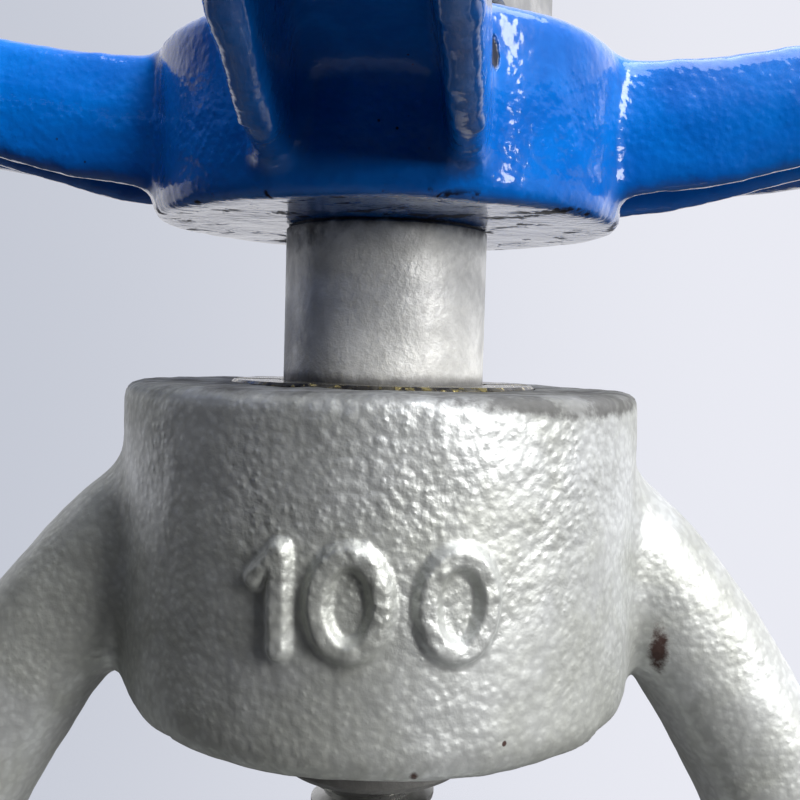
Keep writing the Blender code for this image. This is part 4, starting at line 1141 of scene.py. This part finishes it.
class VALVE_OT_stem_nut(PieceOperator, bpy.types.Operator):
    """Stem nut: the plain sleeve that turns with the wheel and lifts the stem"""

    bl_idname = "valve.stem_nut"
    bl_label = "Stem nut"

    def build(self):
        bottom, top = low("stem_nut").z, high("stem_nut").z
        sleeve, collar = of("valve_handwheel").sleeve_radius, high("stem_nut").x
        bore = high("stem").x + GAP
        seat = high("handwheel_washer").x - SEAT_STEP
        collar_z = high("lower_thrust_washer").z + GAP
        collar_top = low("upper_thrust_washer").z - GAP
        edge = 0.0005
        shoulder = 0.0003
        hub = HUB_BOTTOM - GAP
        profile = [(bore, bottom + 0.001), (bore + 0.001, bottom), (sleeve - 0.001, bottom),
                   (sleeve, bottom + 0.001), (sleeve, collar_z), (collar - edge, collar_z),
                   (collar, collar_z + edge), (collar, collar_top - edge), (collar - edge, collar_top),
                   (sleeve, collar_top), (sleeve, hub - shoulder), (sleeve - shoulder, hub), (seat, hub)]
        # the thread for the locknut, as plain grooves
        pitch, depth = 0.0015, 0.0007
        z = low("handwheel_locknut").z - 0.002
        profile.append((seat, z))
        while z + pitch < top - 0.001:
            profile += [(seat - depth, z + pitch / 2), (seat, z + pitch)]
            z += pitch
        profile += [(seat - 0.001, top), (bore + 0.001, top), (bore, top - 0.001)]
        nut = lathed("stem_nut_sleeve", profile, 128)
        bm = bmesh.new()
        key = extent("handwheel_key").y / 2 + GAP
        inner, reach = low("handwheel_key").x - GAP, high("handwheel_key").x + PAST
        prism(bm, [(inner, -key), (reach, -key), (reach, key), (inner, key)],
              low("handwheel_key").z - GAP, high("handwheel_key").z + GAP)
        combined(nut, bm)
        finished(nut, "wheel", [turned_sleeve()], ["stem_nut"])


class VALVE_OT_bearing(PieceOperator, bpy.types.Operator):
    """Thrust washers and the ring that holds them in the boss"""

    bl_idname = "valve.bearing"
    bl_label = "Thrust bearing"

    def build(self):
        node = "bearing_retaining_ring"
        inner = of("valve_handwheel").sleeve_radius + GAP
        outer, bottom, top = high(node).x, low(node).z, high(node).z
        ring = lathed("bearing_ring_turned", chamfered(inner, outer, bottom, top, 0.0004), 128)
        slot_half, slot_depth = 0.0015, 0.003
        bm = bmesh.new()
        slab(bm, outer + PAST, slot_half, top - slot_depth, top + PAST)
        combined(ring, bm)
        finished(ring, "body", [greased_ring()], [node])
        for node in ("lower_thrust_washer", "upper_thrust_washer"):
            outline = chamfered(inner, high(node).x, low(node).z, high(node).z, 0.0003)
            finished(lathed(f"{node}_bronze", outline), "body", [bearing_bronze()], [node])


class VALVE_OT_stem(PieceOperator, bpy.types.Operator):
    """Rising stem with its trapezoidal thread"""

    bl_idname = "valve.stem"
    bl_label = "Stem"

    def build(self):
        bm = bmesh.new()
        radius, bottom, top = high("stem").x, low("stem").z, high("stem").z
        threaded_rod(bm, radius, of("valve_threads").stem_pitch, bottom, top, depth_share=0.5,
                     crest_share=0.2, steps=40, plain_below=high("stem_clevis").z + 0.004, chamfer=0.0018)
        rod = to_object("stem_threaded", bm)
        bm = bmesh.new()
        hole_along_y(bm, middle("clevis_pin"), extent("clevis_pin").x / 2 + GAP, radius + PAST)
        combined(rod, bm)
        finished(rod, "gate", [machined_steel_bare()], ["stem"])


class VALVE_OT_gate(PieceOperator, bpy.types.Operator):
    """Gate plate with its half-round, sharpened lower edge"""

    bl_idname = "valve.gate"
    bl_label = "Gate plate"

    def build(self):
        half, thick = high("gate_plate").x, extent("gate_plate").y / 2
        top = high("gate_plate").z
        corner_cut, knife_edge = 0.026, 0.0032
        outline = arc((0.0, BORE_Z), half, 180.0, 360.0, 72)
        outline += [(half, top - corner_cut), (half - corner_cut, top), (corner_cut - half, top),
                    (-half, top - corner_cut)]
        bm = bmesh.new()
        prism(bm, outline, -thick, thick, Z_TO_Y)
        closed_up(bm)
        knife = [e for e in sharp_edges(bm, 60.0)
                 if all(v.co.y < 0 and v.co.z < BORE_Z + 1e-4 for v in e.verts)]
        bevelled(bm, knife, knife_edge, 1)
        bevelled(bm, sharp_edges(bm, 50.0), 0.0004, 2)
        plate = to_object("gate_plate_ground", bm)
        bm = bmesh.new()
        hole = of("valve_threads").clevis_radius + BOLT_PLAY
        for i in (1, 2):
            hole_along_y(bm, middle(f"clevis_bolt_{i}"), hole, thick + PAST)
        combined(plate, bm)
        finished(plate, "gate", [stainless_brushed()], ["gate_plate"])


class VALVE_OT_clevis(PieceOperator, bpy.types.Operator):
    """Clevis between gate and stem, with its cross pin and bolts"""

    bl_idname = "valve.clevis"
    bl_label = "Clevis"

    def build(self):
        node = "stem_clevis"
        half_x, bottom, top = high(node).x, low(node).z, high(node).z
        gate_top = high("gate_plate").z
        half_y = low("clevis_nut_1").y - GAP
        neck = high("clevis_pin").y - 0.001
        bm = bmesh.new()
        prism(bm, round_box(half_x, half_y, 0.004), bottom, gate_top + 0.006)
        closed_up(bm)
        bevelled(bm, sharp_edges(bm, 50.0), 0.0008, 2)
        fork = to_object("stem_clevis_fork", bm)
        bm = bmesh.new()
        lathe(bm, [(0.0, gate_top + 0.002), (neck, gate_top + 0.002), (neck, top - 0.001),
                   (neck - 0.001, top), (0.0, top)], steps=72)
        combined(fork, bm, "UNION")
        bm = bmesh.new()
        slot = extent("gate_plate").y / 2 + GAP
        slab(bm, half_x + PAST, slot, bottom - PAST, gate_top + GAP)
        bore, stem_bottom = high("stem").x + GAP, low("stem").z
        lathe(bm, [(0.0, stem_bottom - GAP), (bore, stem_bottom - GAP), (bore, top - 0.0008),
                   (bore + 0.0018, top + 0.001), (0.0, top + 0.001)], steps=64)
        combined(fork, bm)
        threads = of("valve_threads")
        bm = bmesh.new()
        for i in (1, 2):
            hole_along_y(bm, middle(f"clevis_bolt_{i}"), threads.clevis_radius + BOLT_PLAY, neck + PAST)
        hole_along_y(bm, middle("clevis_pin"), extent("clevis_pin").x / 2 + GAP, neck + PAST)
        combined(fork, bm)
        finished(fork, "gate", [machined_steel_bare()], [node])

        node = "clevis_pin"
        radius, reach, edge = extent(node).x / 2, high(node).y, 0.0006
        pin = lathed("clevis_pin_turned", [(0.0, -reach), (radius - edge, -reach), (radius, edge - reach),
                                           (radius, reach - edge), (radius - edge, reach), (0.0, reach)],
                     40, at(0, 0, middle(node).z) @ Z_TO_Y)
        finished(pin, "gate", [machined_steel_bare()], [node])

        for i in (1, 2):
            node = f"clevis_bolt_{i}"
            head = HEAD_SHARE * threads.clevis_radius
            shank = extent(node).y - head
            bolt = bolt_pattern(extent(node).z, head, threads.clevis_radius, threads.clevis_pitch, shank,
                                shank - 0.016)
            place = at(middle(node).x, low(node).y + head, middle(node).z) @ Z_TO_Y
            made = placed_copy(bolt, f"{node}_hex", place)
            finished(made, "gate", [zinc_plated()], [node])
        nuts("clevis_nut", 2, threads.clevis_radius + GAP, along="Y")


def bolt_pattern(flats, head, radius, pitch, shank, plain):
    """A bolt with the underside of its head at zero, pointing down."""
    block = hex_block("bolt_pattern", flats, 0.0, head, both_ends=False)
    bm = bmesh.new()
    threaded_rod(bm, radius, pitch, -shank, head * 0.4, steps=24, plain_above=-plain)
    combined(block, bm, "UNION")
    return block


class VALVE_OT_yoke_fasteners(PieceOperator, bpy.types.Operator):
    """Bolts, washers and nuts through the yoke's feet"""

    bl_idname = "valve.yoke_fasteners"
    bl_label = "Yoke fasteners"

    def build(self):
        threads = of("valve_threads")
        radius = threads.yoke_radius
        head = HEAD_SHARE * radius
        for i in range(1, 5):
            node = f"yoke_bolt_{i}"
            shank = extent(node).z - head
            bolt = bolt_pattern(extent(node).y, head, radius, threads.yoke_pitch, shank, shank - 0.024)
            place = at(middle(node).x, middle(node).y, high(node).z - head)
            made = placed_copy(bolt, f"{node}_hex", place)
            finished(made, "body", [zinc_plated()], [node])
            node = f"yoke_washer_{i}"
            outline = chamfered(radius + BOLT_PLAY, extent(node).x / 2, low(node).z, high(node).z, 0.0003)
            washer = lathed(f"{node}_round", outline, 48, at(middle(node).x, middle(node).y))
            finished(washer, "body", [zinc_plated()], [node])
        nuts("yoke_nut", 4, radius + GAP)


class VALVE_OT_gland(PieceOperator, bpy.types.Operator):
    """Gland follower with its studs, nuts and packing"""

    bl_idname = "valve.gland"
    bl_label = "Gland"

    def build(self):
        node = "gland_follower"
        half_x, half_y = high(node).x, high(node).y
        top, under = high(node).z, high(node).z - 0.012
        box_x, box_y = high("packing_ring_1").x, high("packing_ring_1").y
        bm = bmesh.new()
        prism(bm, round_box(half_x, half_y, 0.008), under, top)
        closed_up(bm)
        bevelled(bm, sharp_edges(bm, 50.0), 0.0020, 4)
        plate = to_object("gland_follower_casting", bm)
        bm = bmesh.new()
        prism(bm, round_box(box_x, box_y, box_y * 0.98, 10), low(node).z, under + 0.004)
        combined(plate, bm, "UNION")
        bm = bmesh.new()
        gate_x, gate_y = high("gate_plate").x + GAP, high("gate_plate").y + GAP
        slab(bm, gate_x, gate_y, low(node).z - PAST, top + PAST)
        hole = of("valve_threads").gland_radius + BOLT_PLAY
        for i in range(1, 5):
            spot = middle(f"gland_stud_{i}")
            face = extent(f"gland_nut_{i}").x / 2 + 0.0012
            lathe(bm, [(0.0, under - PAST), (hole, under - PAST), (hole, top - 2e-5), (face, top - 2e-5),
                       (face, top + 0.005), (0.0, top + 0.005)], steps=40, matrix=at(spot.x, spot.y))
        combined(plate, bm)
        finished(plate, "body", [silver_painted_casting(), machined_iron()], [node])

        threads = of("valve_threads")
        for i in range(1, 5):
            node = f"gland_stud_{i}"
            bm = bmesh.new()
            threaded_rod(bm, threads.gland_radius, threads.gland_pitch, low(node).z, high(node).z, steps=24)
            bmesh.ops.transform(bm, matrix=at(middle(node).x, middle(node).y), verts=bm.verts)
            finished(to_object(f"{node}_threaded", bm), "body", [zinc_plated()], [node])
        nuts("gland_nut", 4, threads.gland_radius + GAP)

        for i in range(1, 4):
            ring = frame["nodes"][f"packing_ring_{i}"]
            ring.data.materials.clear()
            ring.data.materials.append(graphited_braid())


class VALVE_OT_seat(PieceOperator, bpy.types.Operator):
    """Rubber seat and the ring that keeps it in the body"""

    bl_idname = "valve.seat"
    bl_label = "Seat"

    def build(self):
        bore = of("valve_body").bore_radius
        for node, slot, material, edge in (("seat_ring", "seat_rubber", seat_rubber_black(), 0.0007),
                                           ("seat_retainer_ring", "stainless", stainless_brushed(), 0.0012)):
            # heights run along -Y once turned
            outline = chamfered(bore, high(node).x, -high(node).y, -low(node).y, edge)
            ring = lathed(f"{node}_turned", outline, 160, at(0, 0, BORE_Z) @ Z_TO_Y)
            finished(ring, "body", [material], [node])


class VALVE_OT_body(PieceOperator, bpy.types.Operator):
    """Body casting: disc, chest, gussets and top flange, with its machined faces and holes"""

    bl_idname = "valve.body"
    bl_label = "Body"

    chest_wall = 0.008
    gusset_drop = 0.070
    gusset_half = 0.005
    facing_pitch = 0.0008
    facing_depth = 0.00025
    slot_play = 0.002

    def build(self):
        sizes = of("valve_body")
        radius = BORE_Z - SKIN
        box_x, box_y = high("packing_ring_1").x + GAP, high("packing_ring_1").y + GAP
        under = BODY_TOP - sizes.top_flange
        flange_x, flange_y = high("valve_body").x, high("valve_body").y
        chest_x = box_x + self.chest_wall
        machining, edge = 0.0010, 0.003
        along_y = at(0, 0, BORE_Z) @ Z_TO_Y
        half, raised = sizes.disc_half, sizes.raised_radius
        face = FACE_Y + machining
        outline = [(0.0, -face), (raised, -face), (raised + 0.001, -half)]
        outline += arc((radius - edge, -half + edge), edge, -90.0, 0.0, 4)
        outline += arc((radius - edge, half - edge), edge, 0.0, 90.0, 4)
        outline += [(raised + 0.001, half), (raised, face), (0.0, face)]
        bm = bmesh.new()
        lathe(bm, outline, steps=160, matrix=along_y)
        prism(bm, round_box(chest_x, sizes.chest_half_y, 0.012), BORE_Z + sizes.bore_radius + 0.012,
              under + 0.003)
        inner, tip = chest_x - 0.004, flange_x - 0.010
        foot, knee, top = under - self.gusset_drop, under - 0.012, under + 0.006
        for side in (-1, 1):
            gusset = [(side * inner, foot), (side * (chest_x + 0.008), foot), (side * tip, knee),
                      (side * tip, top), (side * inner, top)]
            prism(bm, gusset, -self.gusset_half, self.gusset_half, Z_TO_Y)
        prism(bm, round_box(flange_x, flange_y, 0.006), under, BODY_TOP + machining)
        body = to_object("valve_body_casting", bm)
        cast(body, sizes.grain)

        def joints_of_casting(p):
            return BORE_Z + 0.045 < p.z < under + 0.004 and abs(p.y) < 0.032

        edit(body, lambda bm: softened(bm, 2), lambda bm: softened(bm, 8, joints_of_casting),
             lambda bm: lumpy(bm, 0.00030, 0.012, 5.3))
        self.cut_passages(body, box_x, box_y, along_y)
        self.face(body, along_y)
        self.drill(body, under)
        finished(body, "body", [silver_painted_casting(), machined_iron()], ["valve_body"],
                 CAST_SMOOTH)

    def cut_passages(self, body, box_x, box_y, along_y):
        """Cuts the bore with its seat, the gate's slot and the packing box."""
        bore, seat_bore, reach = of("valve_body").bore_radius, high("seat_ring").x + GAP, 0.05
        passages = lathed("passages", [(0.0, -reach), (bore, -reach), (bore, 0.0), (seat_bore, 0.0),
                                       (seat_bore, reach), (0.0, reach)], 160, along_y)
        slot_x, slot_y = high("gate_plate").x + self.slot_play, high("gate_plate").y + 0.001
        box_floor = low("packing_ring_1").z - GAP
        overlap = 0.001
        outline = arc((0.0, BORE_Z), slot_x, 180.0, 360.0, 48)
        outline += [(slot_x, box_floor + overlap), (-slot_x, box_floor + overlap)]
        bm = bmesh.new()
        prism(bm, outline, -slot_y, slot_y, Z_TO_Y)
        combined(passages, bm, "UNION")
        bm = bmesh.new()
        prism(bm, round_box(box_x, box_y, box_y * 0.98, 10), box_floor, BODY_TOP + PAST)
        combined(passages, bm, "UNION")
        bm = bmesh.new()
        bm.from_mesh(passages.data)
        bpy.data.objects.remove(passages)
        combined(body, bm)

    def face(self, body, along_y):
        """Turns fine grooves into the raised faces and mills the top flat."""
        sizes = of("valve_body")
        bore, start = sizes.bore_radius - PAST, high("seat_ring").x + GAP + 0.002
        outer, away = sizes.raised_radius + 0.003, FACE_Y + 0.006
        pitch = self.facing_pitch
        bm = bmesh.new()
        for side in (-1.0, 1.0):
            profile = [(bore, side * away), (bore, side * FACE_Y), (start, side * FACE_Y)]
            r = start
            while r + pitch < sizes.raised_radius - 0.002:
                profile += [(r + pitch / 2, side * (FACE_Y - self.facing_depth)), (r + pitch, side * FACE_Y)]
                r += pitch
            profile += [(outer, side * FACE_Y), (outer, side * away)]
            lathe(bm, profile, steps=128, matrix=along_y)
        top = high("valve_body")
        prism(bm, round_box(top.x + PAST, top.y + PAST, 0.002, 1), BODY_TOP, BODY_TOP + 0.006)
        combined(body, bm)

    def drill(self, body, under):
        """Cuts the flange's tapped holes, and the holes for the gland's studs and the yoke's bolts."""
        sizes, threads = of("valve_body"), of("valve_threads")
        slot_x = high("gate_plate").x + self.slot_play
        reach = sizes.disc_half
        bm = bmesh.new()
        for i in range(sizes.holes):
            a = math.tau * (i + 0.5) / sizes.holes
            x, z = sizes.bolt_circle * math.cos(a), sizes.bolt_circle * math.sin(a)
            place = at(x, 0, BORE_Z + z) @ Z_TO_Y
            if abs(x) < slot_x + sizes.hole_radius and z > 0:
                # these would run into the gate's slot, so they stop short of it
                for side in (-1.0, 1.0):
                    self.tapped(bm, place, side * (reach - sizes.blind_depth), side * reach, blind=True)
            else:
                self.tapped(bm, place, -reach, reach, blind=False)
        for i in range(1, 5):
            spot, floor = middle(f"gland_stud_{i}"), low(f"gland_stud_{i}").z - GAP
            hole, mouth = threads.gland_radius + GAP, BODY_TOP + 0.0012
            lathe(bm, [(0.0, floor), (hole, floor), (hole, BODY_TOP - 0.0008), (hole + 0.002, mouth),
                       (0.0, mouth)], steps=32, matrix=at(spot.x, spot.y))
            spot = middle(f"yoke_bolt_{i}")
            hole, face = threads.yoke_radius + BOLT_PLAY, extent(f"yoke_nut_{i}").x / 2 + 0.001
            lathe(bm, [(0.0, under - 0.006), (face, under - 0.006), (face, under + 0.0004),
                       (hole, under + 0.0004), (hole, BODY_TOP + 0.002), (0.0, BODY_TOP + 0.002)],
                  steps=40, matrix=at(spot.x, spot.y))
        combined(body, bm)

    def tapped(self, bm, place, inner, outer, blind):
        """A tapped hole's cutter, with its thread's grooves and a countersunk mouth at each open end."""
        core = of("valve_body").hole_radius
        crest, pitch = core + 0.0009, 0.002
        mouth, beyond = 0.0011, 0.0035
        way = 1.0 if outer > inner else -1.0
        if blind:
            profile = [(0.0, inner), (core, inner)]
        else:
            profile = [(0.0, inner - beyond), (crest + mouth + beyond, inner - beyond),
                       (crest, inner + mouth)]
        z = inner + way * (mouth + pitch)
        while way * (outer - way * (mouth + pitch) - z) > 0:
            profile += [(core, z), (crest, z + way * pitch / 2)]
            z += way * pitch
        profile += [(crest, outer - way * mouth), (crest + mouth + beyond, outer + way * beyond),
                    (0.0, outer + way * beyond)]
        lathe(bm, profile, steps=36, matrix=place)


class VALVE_OT_wheel_fastening(PieceOperator, bpy.types.Operator):
    """Key, washer and locknut that hold the wheel"""

    bl_idname = "valve.wheel_fastening"
    bl_label = "Wheel fastening"

    def build(self):
        node = "handwheel_washer"
        seat = high(node).x - SEAT_STEP
        outline = chamfered(seat + GAP, high(node).x, low(node).z, high(node).z, 0.0004)
        finished(lathed("handwheel_washer_round", outline), "wheel", [zinc_plated()], [node])
        node = "handwheel_locknut"
        pattern = nut_mesh(extent(node).y, extent(node).z, seat + GAP)
        made = placed_copy(pattern, "handwheel_locknut_hex", at(0, 0, low(node).z))
        finished(made, "wheel", [machined_steel_bare()], [node])
        node = "handwheel_key"
        size = extent(node)
        bm = bmesh.new()
        shape = Matrix.Translation(middle(node)) @ Matrix.Diagonal((*size, 1.0))
        bmesh.ops.create_cube(bm, size=1.0, matrix=shape)
        bevelled(bm, list(bm.edges), 0.0003, 2)
        key = to_object("handwheel_key_ground", bm)
        finished(key, "wheel", [machined_steel_bare()], [node])


class VALVE_OT_stage(PieceOperator, bpy.types.Operator):
    """Floor, surroundings, lamps and camera"""

    bl_idname = "valve.stage"
    bl_label = "Stage"

    def build(self):
        self.floor()
        self.surroundings()
        self.lamp("window", azimuth=46.0, elevation=27.0, distance=1.10, size=(0.38, 1.00), power=19.5,
                  tint=(1.0, 0.99, 0.98))
        self.lamp("overhead", azimuth=60.0, elevation=74.0, distance=1.3, size=(1.2, 1.2), power=20.0,
                  tint=(0.97, 0.98, 1.0))
        self.camera()

    def floor(self):
        """A pale round floor that fades out before its edge."""
        bm = bmesh.new()
        bmesh.ops.create_circle(bm, cap_ends=True, segments=96, radius=3.0)
        mesh = bpy.data.meshes.new("studio_floor")
        bm.to_mesh(mesh)
        bm.free()
        floor = bpy.data.objects.new("studio_floor", mesh)
        bpy.context.scene.collection.objects.link(floor)
        mat = bpy.data.materials.new("pale_floor")
        mat.use_nodes = True
        wires = Wiring(mat.node_tree)
        shader = mat.node_tree.nodes["Principled BSDF"]
        shader.inputs["Base Color"].default_value = (0.62, 0.63, 0.67, 1.0)
        shader.inputs["Roughness"].default_value = 0.7
        place = wires.node("ShaderNodeTexCoord").outputs["Object"]
        far = wires.node("ShaderNodeVectorMath", {0: place}, operation="LENGTH").outputs["Value"]
        solid = wires.remap(far, 0.35, 1.0, 1.0, 0.0)
        wires.tree.links.new(solid, shader.inputs["Alpha"])
        mesh.materials.append(mat)
        floor.visible_diffuse = False
        floor.visible_glossy = False

    def surroundings(self):
        """Pale behind the valve, light from the right and above, and a dim room round the camera."""
        world = bpy.data.worlds.new("studio")
        bpy.context.scene.world = world
        world.use_nodes = True
        wires = Wiring(world.node_tree)
        toward = wires.node("ShaderNodeTexCoord").outputs["Generated"]

        def facing(azimuth, elevation, start, end):
            a, e = math.radians(azimuth), math.radians(elevation)
            axis = (math.sin(a) * math.cos(e), -math.cos(a) * math.cos(e), math.sin(e))
            dot = wires.node("ShaderNodeVectorMath", {0: toward, 1: axis}, operation="DOT_PRODUCT")
            return wires.remap(dot.outputs["Value"], start, end)

        level = wires.times(facing(180.0, 0.0, 0.05, 0.60), 0.72)
        level = wires.times(level, facing(0.0, 90.0, -0.40, -0.17))
        right = wires.times(facing(105.0, 30.0, 0.40, 0.95), 0.50)
        above = wires.times(facing(40.0, 80.0, 0.50, 1.0), 0.40)
        below = wires.times(facing(0.0, -90.0, 0.30, 1.0), 0.16)
        level = wires.plus(wires.plus(level, right), wires.plus(above, 0.025))
        level = wires.plus(level, below)
        tint = wires.node("ShaderNodeCombineXYZ", {"X": level, "Y": level,
                                                   "Z": wires.times(level, 1.05)})
        lit = world.node_tree.nodes["Background"]
        wires.tree.links.new(tint.outputs[0], lit.inputs["Color"])
        lit.inputs["Strength"].default_value = 1.0
        # the backdrop that the camera sees, with painted shade: darker to the left and lighter towards the
        # lamps at the right
        shade = wires.blend(facing(65.0, 0.0, -0.85, 0.0), (0.53, 0.56, 0.64), (0.82, 0.83, 0.90))
        seen = wires.node("ShaderNodeBackground", {"Color": shade, "Strength": 1.0})
        direct = wires.node("ShaderNodeLightPath").outputs["Is Camera Ray"]
        mixed = wires.node("ShaderNodeMixShader", {0: direct, 1: lit.outputs[0], 2: seen.outputs[0]})
        wires.tree.links.new(mixed.outputs[0], world.node_tree.nodes["World Output"].inputs["Surface"])

    def lamp(self, name, azimuth, elevation, distance, size, power, tint):
        """An area lamp aimed at the boss."""
        data = bpy.data.lights.new(name, "AREA")
        data.shape = "RECTANGLE"
        data.size, data.size_y = size
        data.energy = power
        data.color = tint
        lamp = bpy.data.objects.new(name, data)
        a, e = math.radians(azimuth), math.radians(elevation)
        back = Vector((math.sin(a) * math.cos(e), -math.cos(a) * math.cos(e), math.sin(e)))
        lamp.location = Vector((0.0, 0.0, BOSS_TOP)) + back * distance
        lamp.rotation_euler = (-back).to_track_quat("-Z", "Y").to_euler()
        lamp.visible_camera = False
        bpy.context.scene.collection.objects.link(lamp)

    def camera(self):
        """A close view of the boss and the hub from the front, a little to the left."""
        data = bpy.data.cameras.new("camera")
        data.sensor_width = 36.0
        data.lens = 45.61
        data.clip_start = 0.005
        camera = bpy.data.objects.new("camera", data)
        pitch, yaw, roll = -0.0461, 0.0605, 0.027
        ahead = Vector((math.sin(yaw) * math.cos(pitch), math.cos(yaw) * math.cos(pitch), math.sin(pitch)))
        right = Vector((math.cos(yaw), -math.sin(yaw), 0.0))
        up = right.cross(ahead)
        tilted_right = math.cos(roll) * right + math.sin(roll) * up
        tilted_up = -math.sin(roll) * right + math.cos(roll) * up
        turn = Matrix((tilted_right, tilted_up, -ahead)).transposed().to_4x4()
        camera.matrix_world = Matrix.Translation((-0.00705, -0.1626, BOSS_TOP + 0.00512)) @ turn
        bpy.context.scene.collection.objects.link(camera)
        bpy.context.scene.camera = camera
        bpy.context.scene.view_settings.view_transform = "Standard"


OPERATORS = (VALVE_OT_stage, VALVE_OT_body, VALVE_OT_seat, VALVE_OT_gate, VALVE_OT_gland, VALVE_OT_clevis,
             VALVE_OT_stem, VALVE_OT_yoke, VALVE_OT_yoke_fasteners, VALVE_OT_bearing, VALVE_OT_stem_nut,
             VALVE_OT_handwheel, VALVE_OT_wheel_fastening)


class VALVE_PT_panel(bpy.types.Panel):
    """The valve's sizes and colours, and a button for each group of pieces"""

    bl_label = "Knife Gate Valve"
    bl_idname = "VALVE_PT_panel"
    bl_space_type = "VIEW_3D"
    bl_region_type = "UI"
    bl_category = "Valve"

    def draw(self, context):
        for name, group in SIZES.items():
            box = self.layout.box()
            for prop in group.__annotations__:
                box.prop(getattr(context.scene, name), prop)
        for operator in OPERATORS:
            self.layout.operator(operator.bl_idname)


def register():
    for name, group in SIZES.items():
        bpy.utils.register_class(group)
        setattr(bpy.types.Scene, name, PointerProperty(type=group))
    for operator in OPERATORS:
        bpy.utils.register_class(operator)
    bpy.utils.register_class(VALVE_PT_panel)


def unregister():
    bpy.utils.unregister_class(VALVE_PT_panel)
    for operator in reversed(OPERATORS):
        bpy.utils.unregister_class(operator)
    for name, group in SIZES.items():
        delattr(bpy.types.Scene, name)
        bpy.utils.unregister_class(group)


def main():
    """Makes every piece round the frame."""
    register()
    make_groups()
    for operator in OPERATORS:
        category, name = operator.bl_idname.split(".")
        getattr(getattr(bpy.ops, category), name)()


if __name__ == "__main__":
    main()
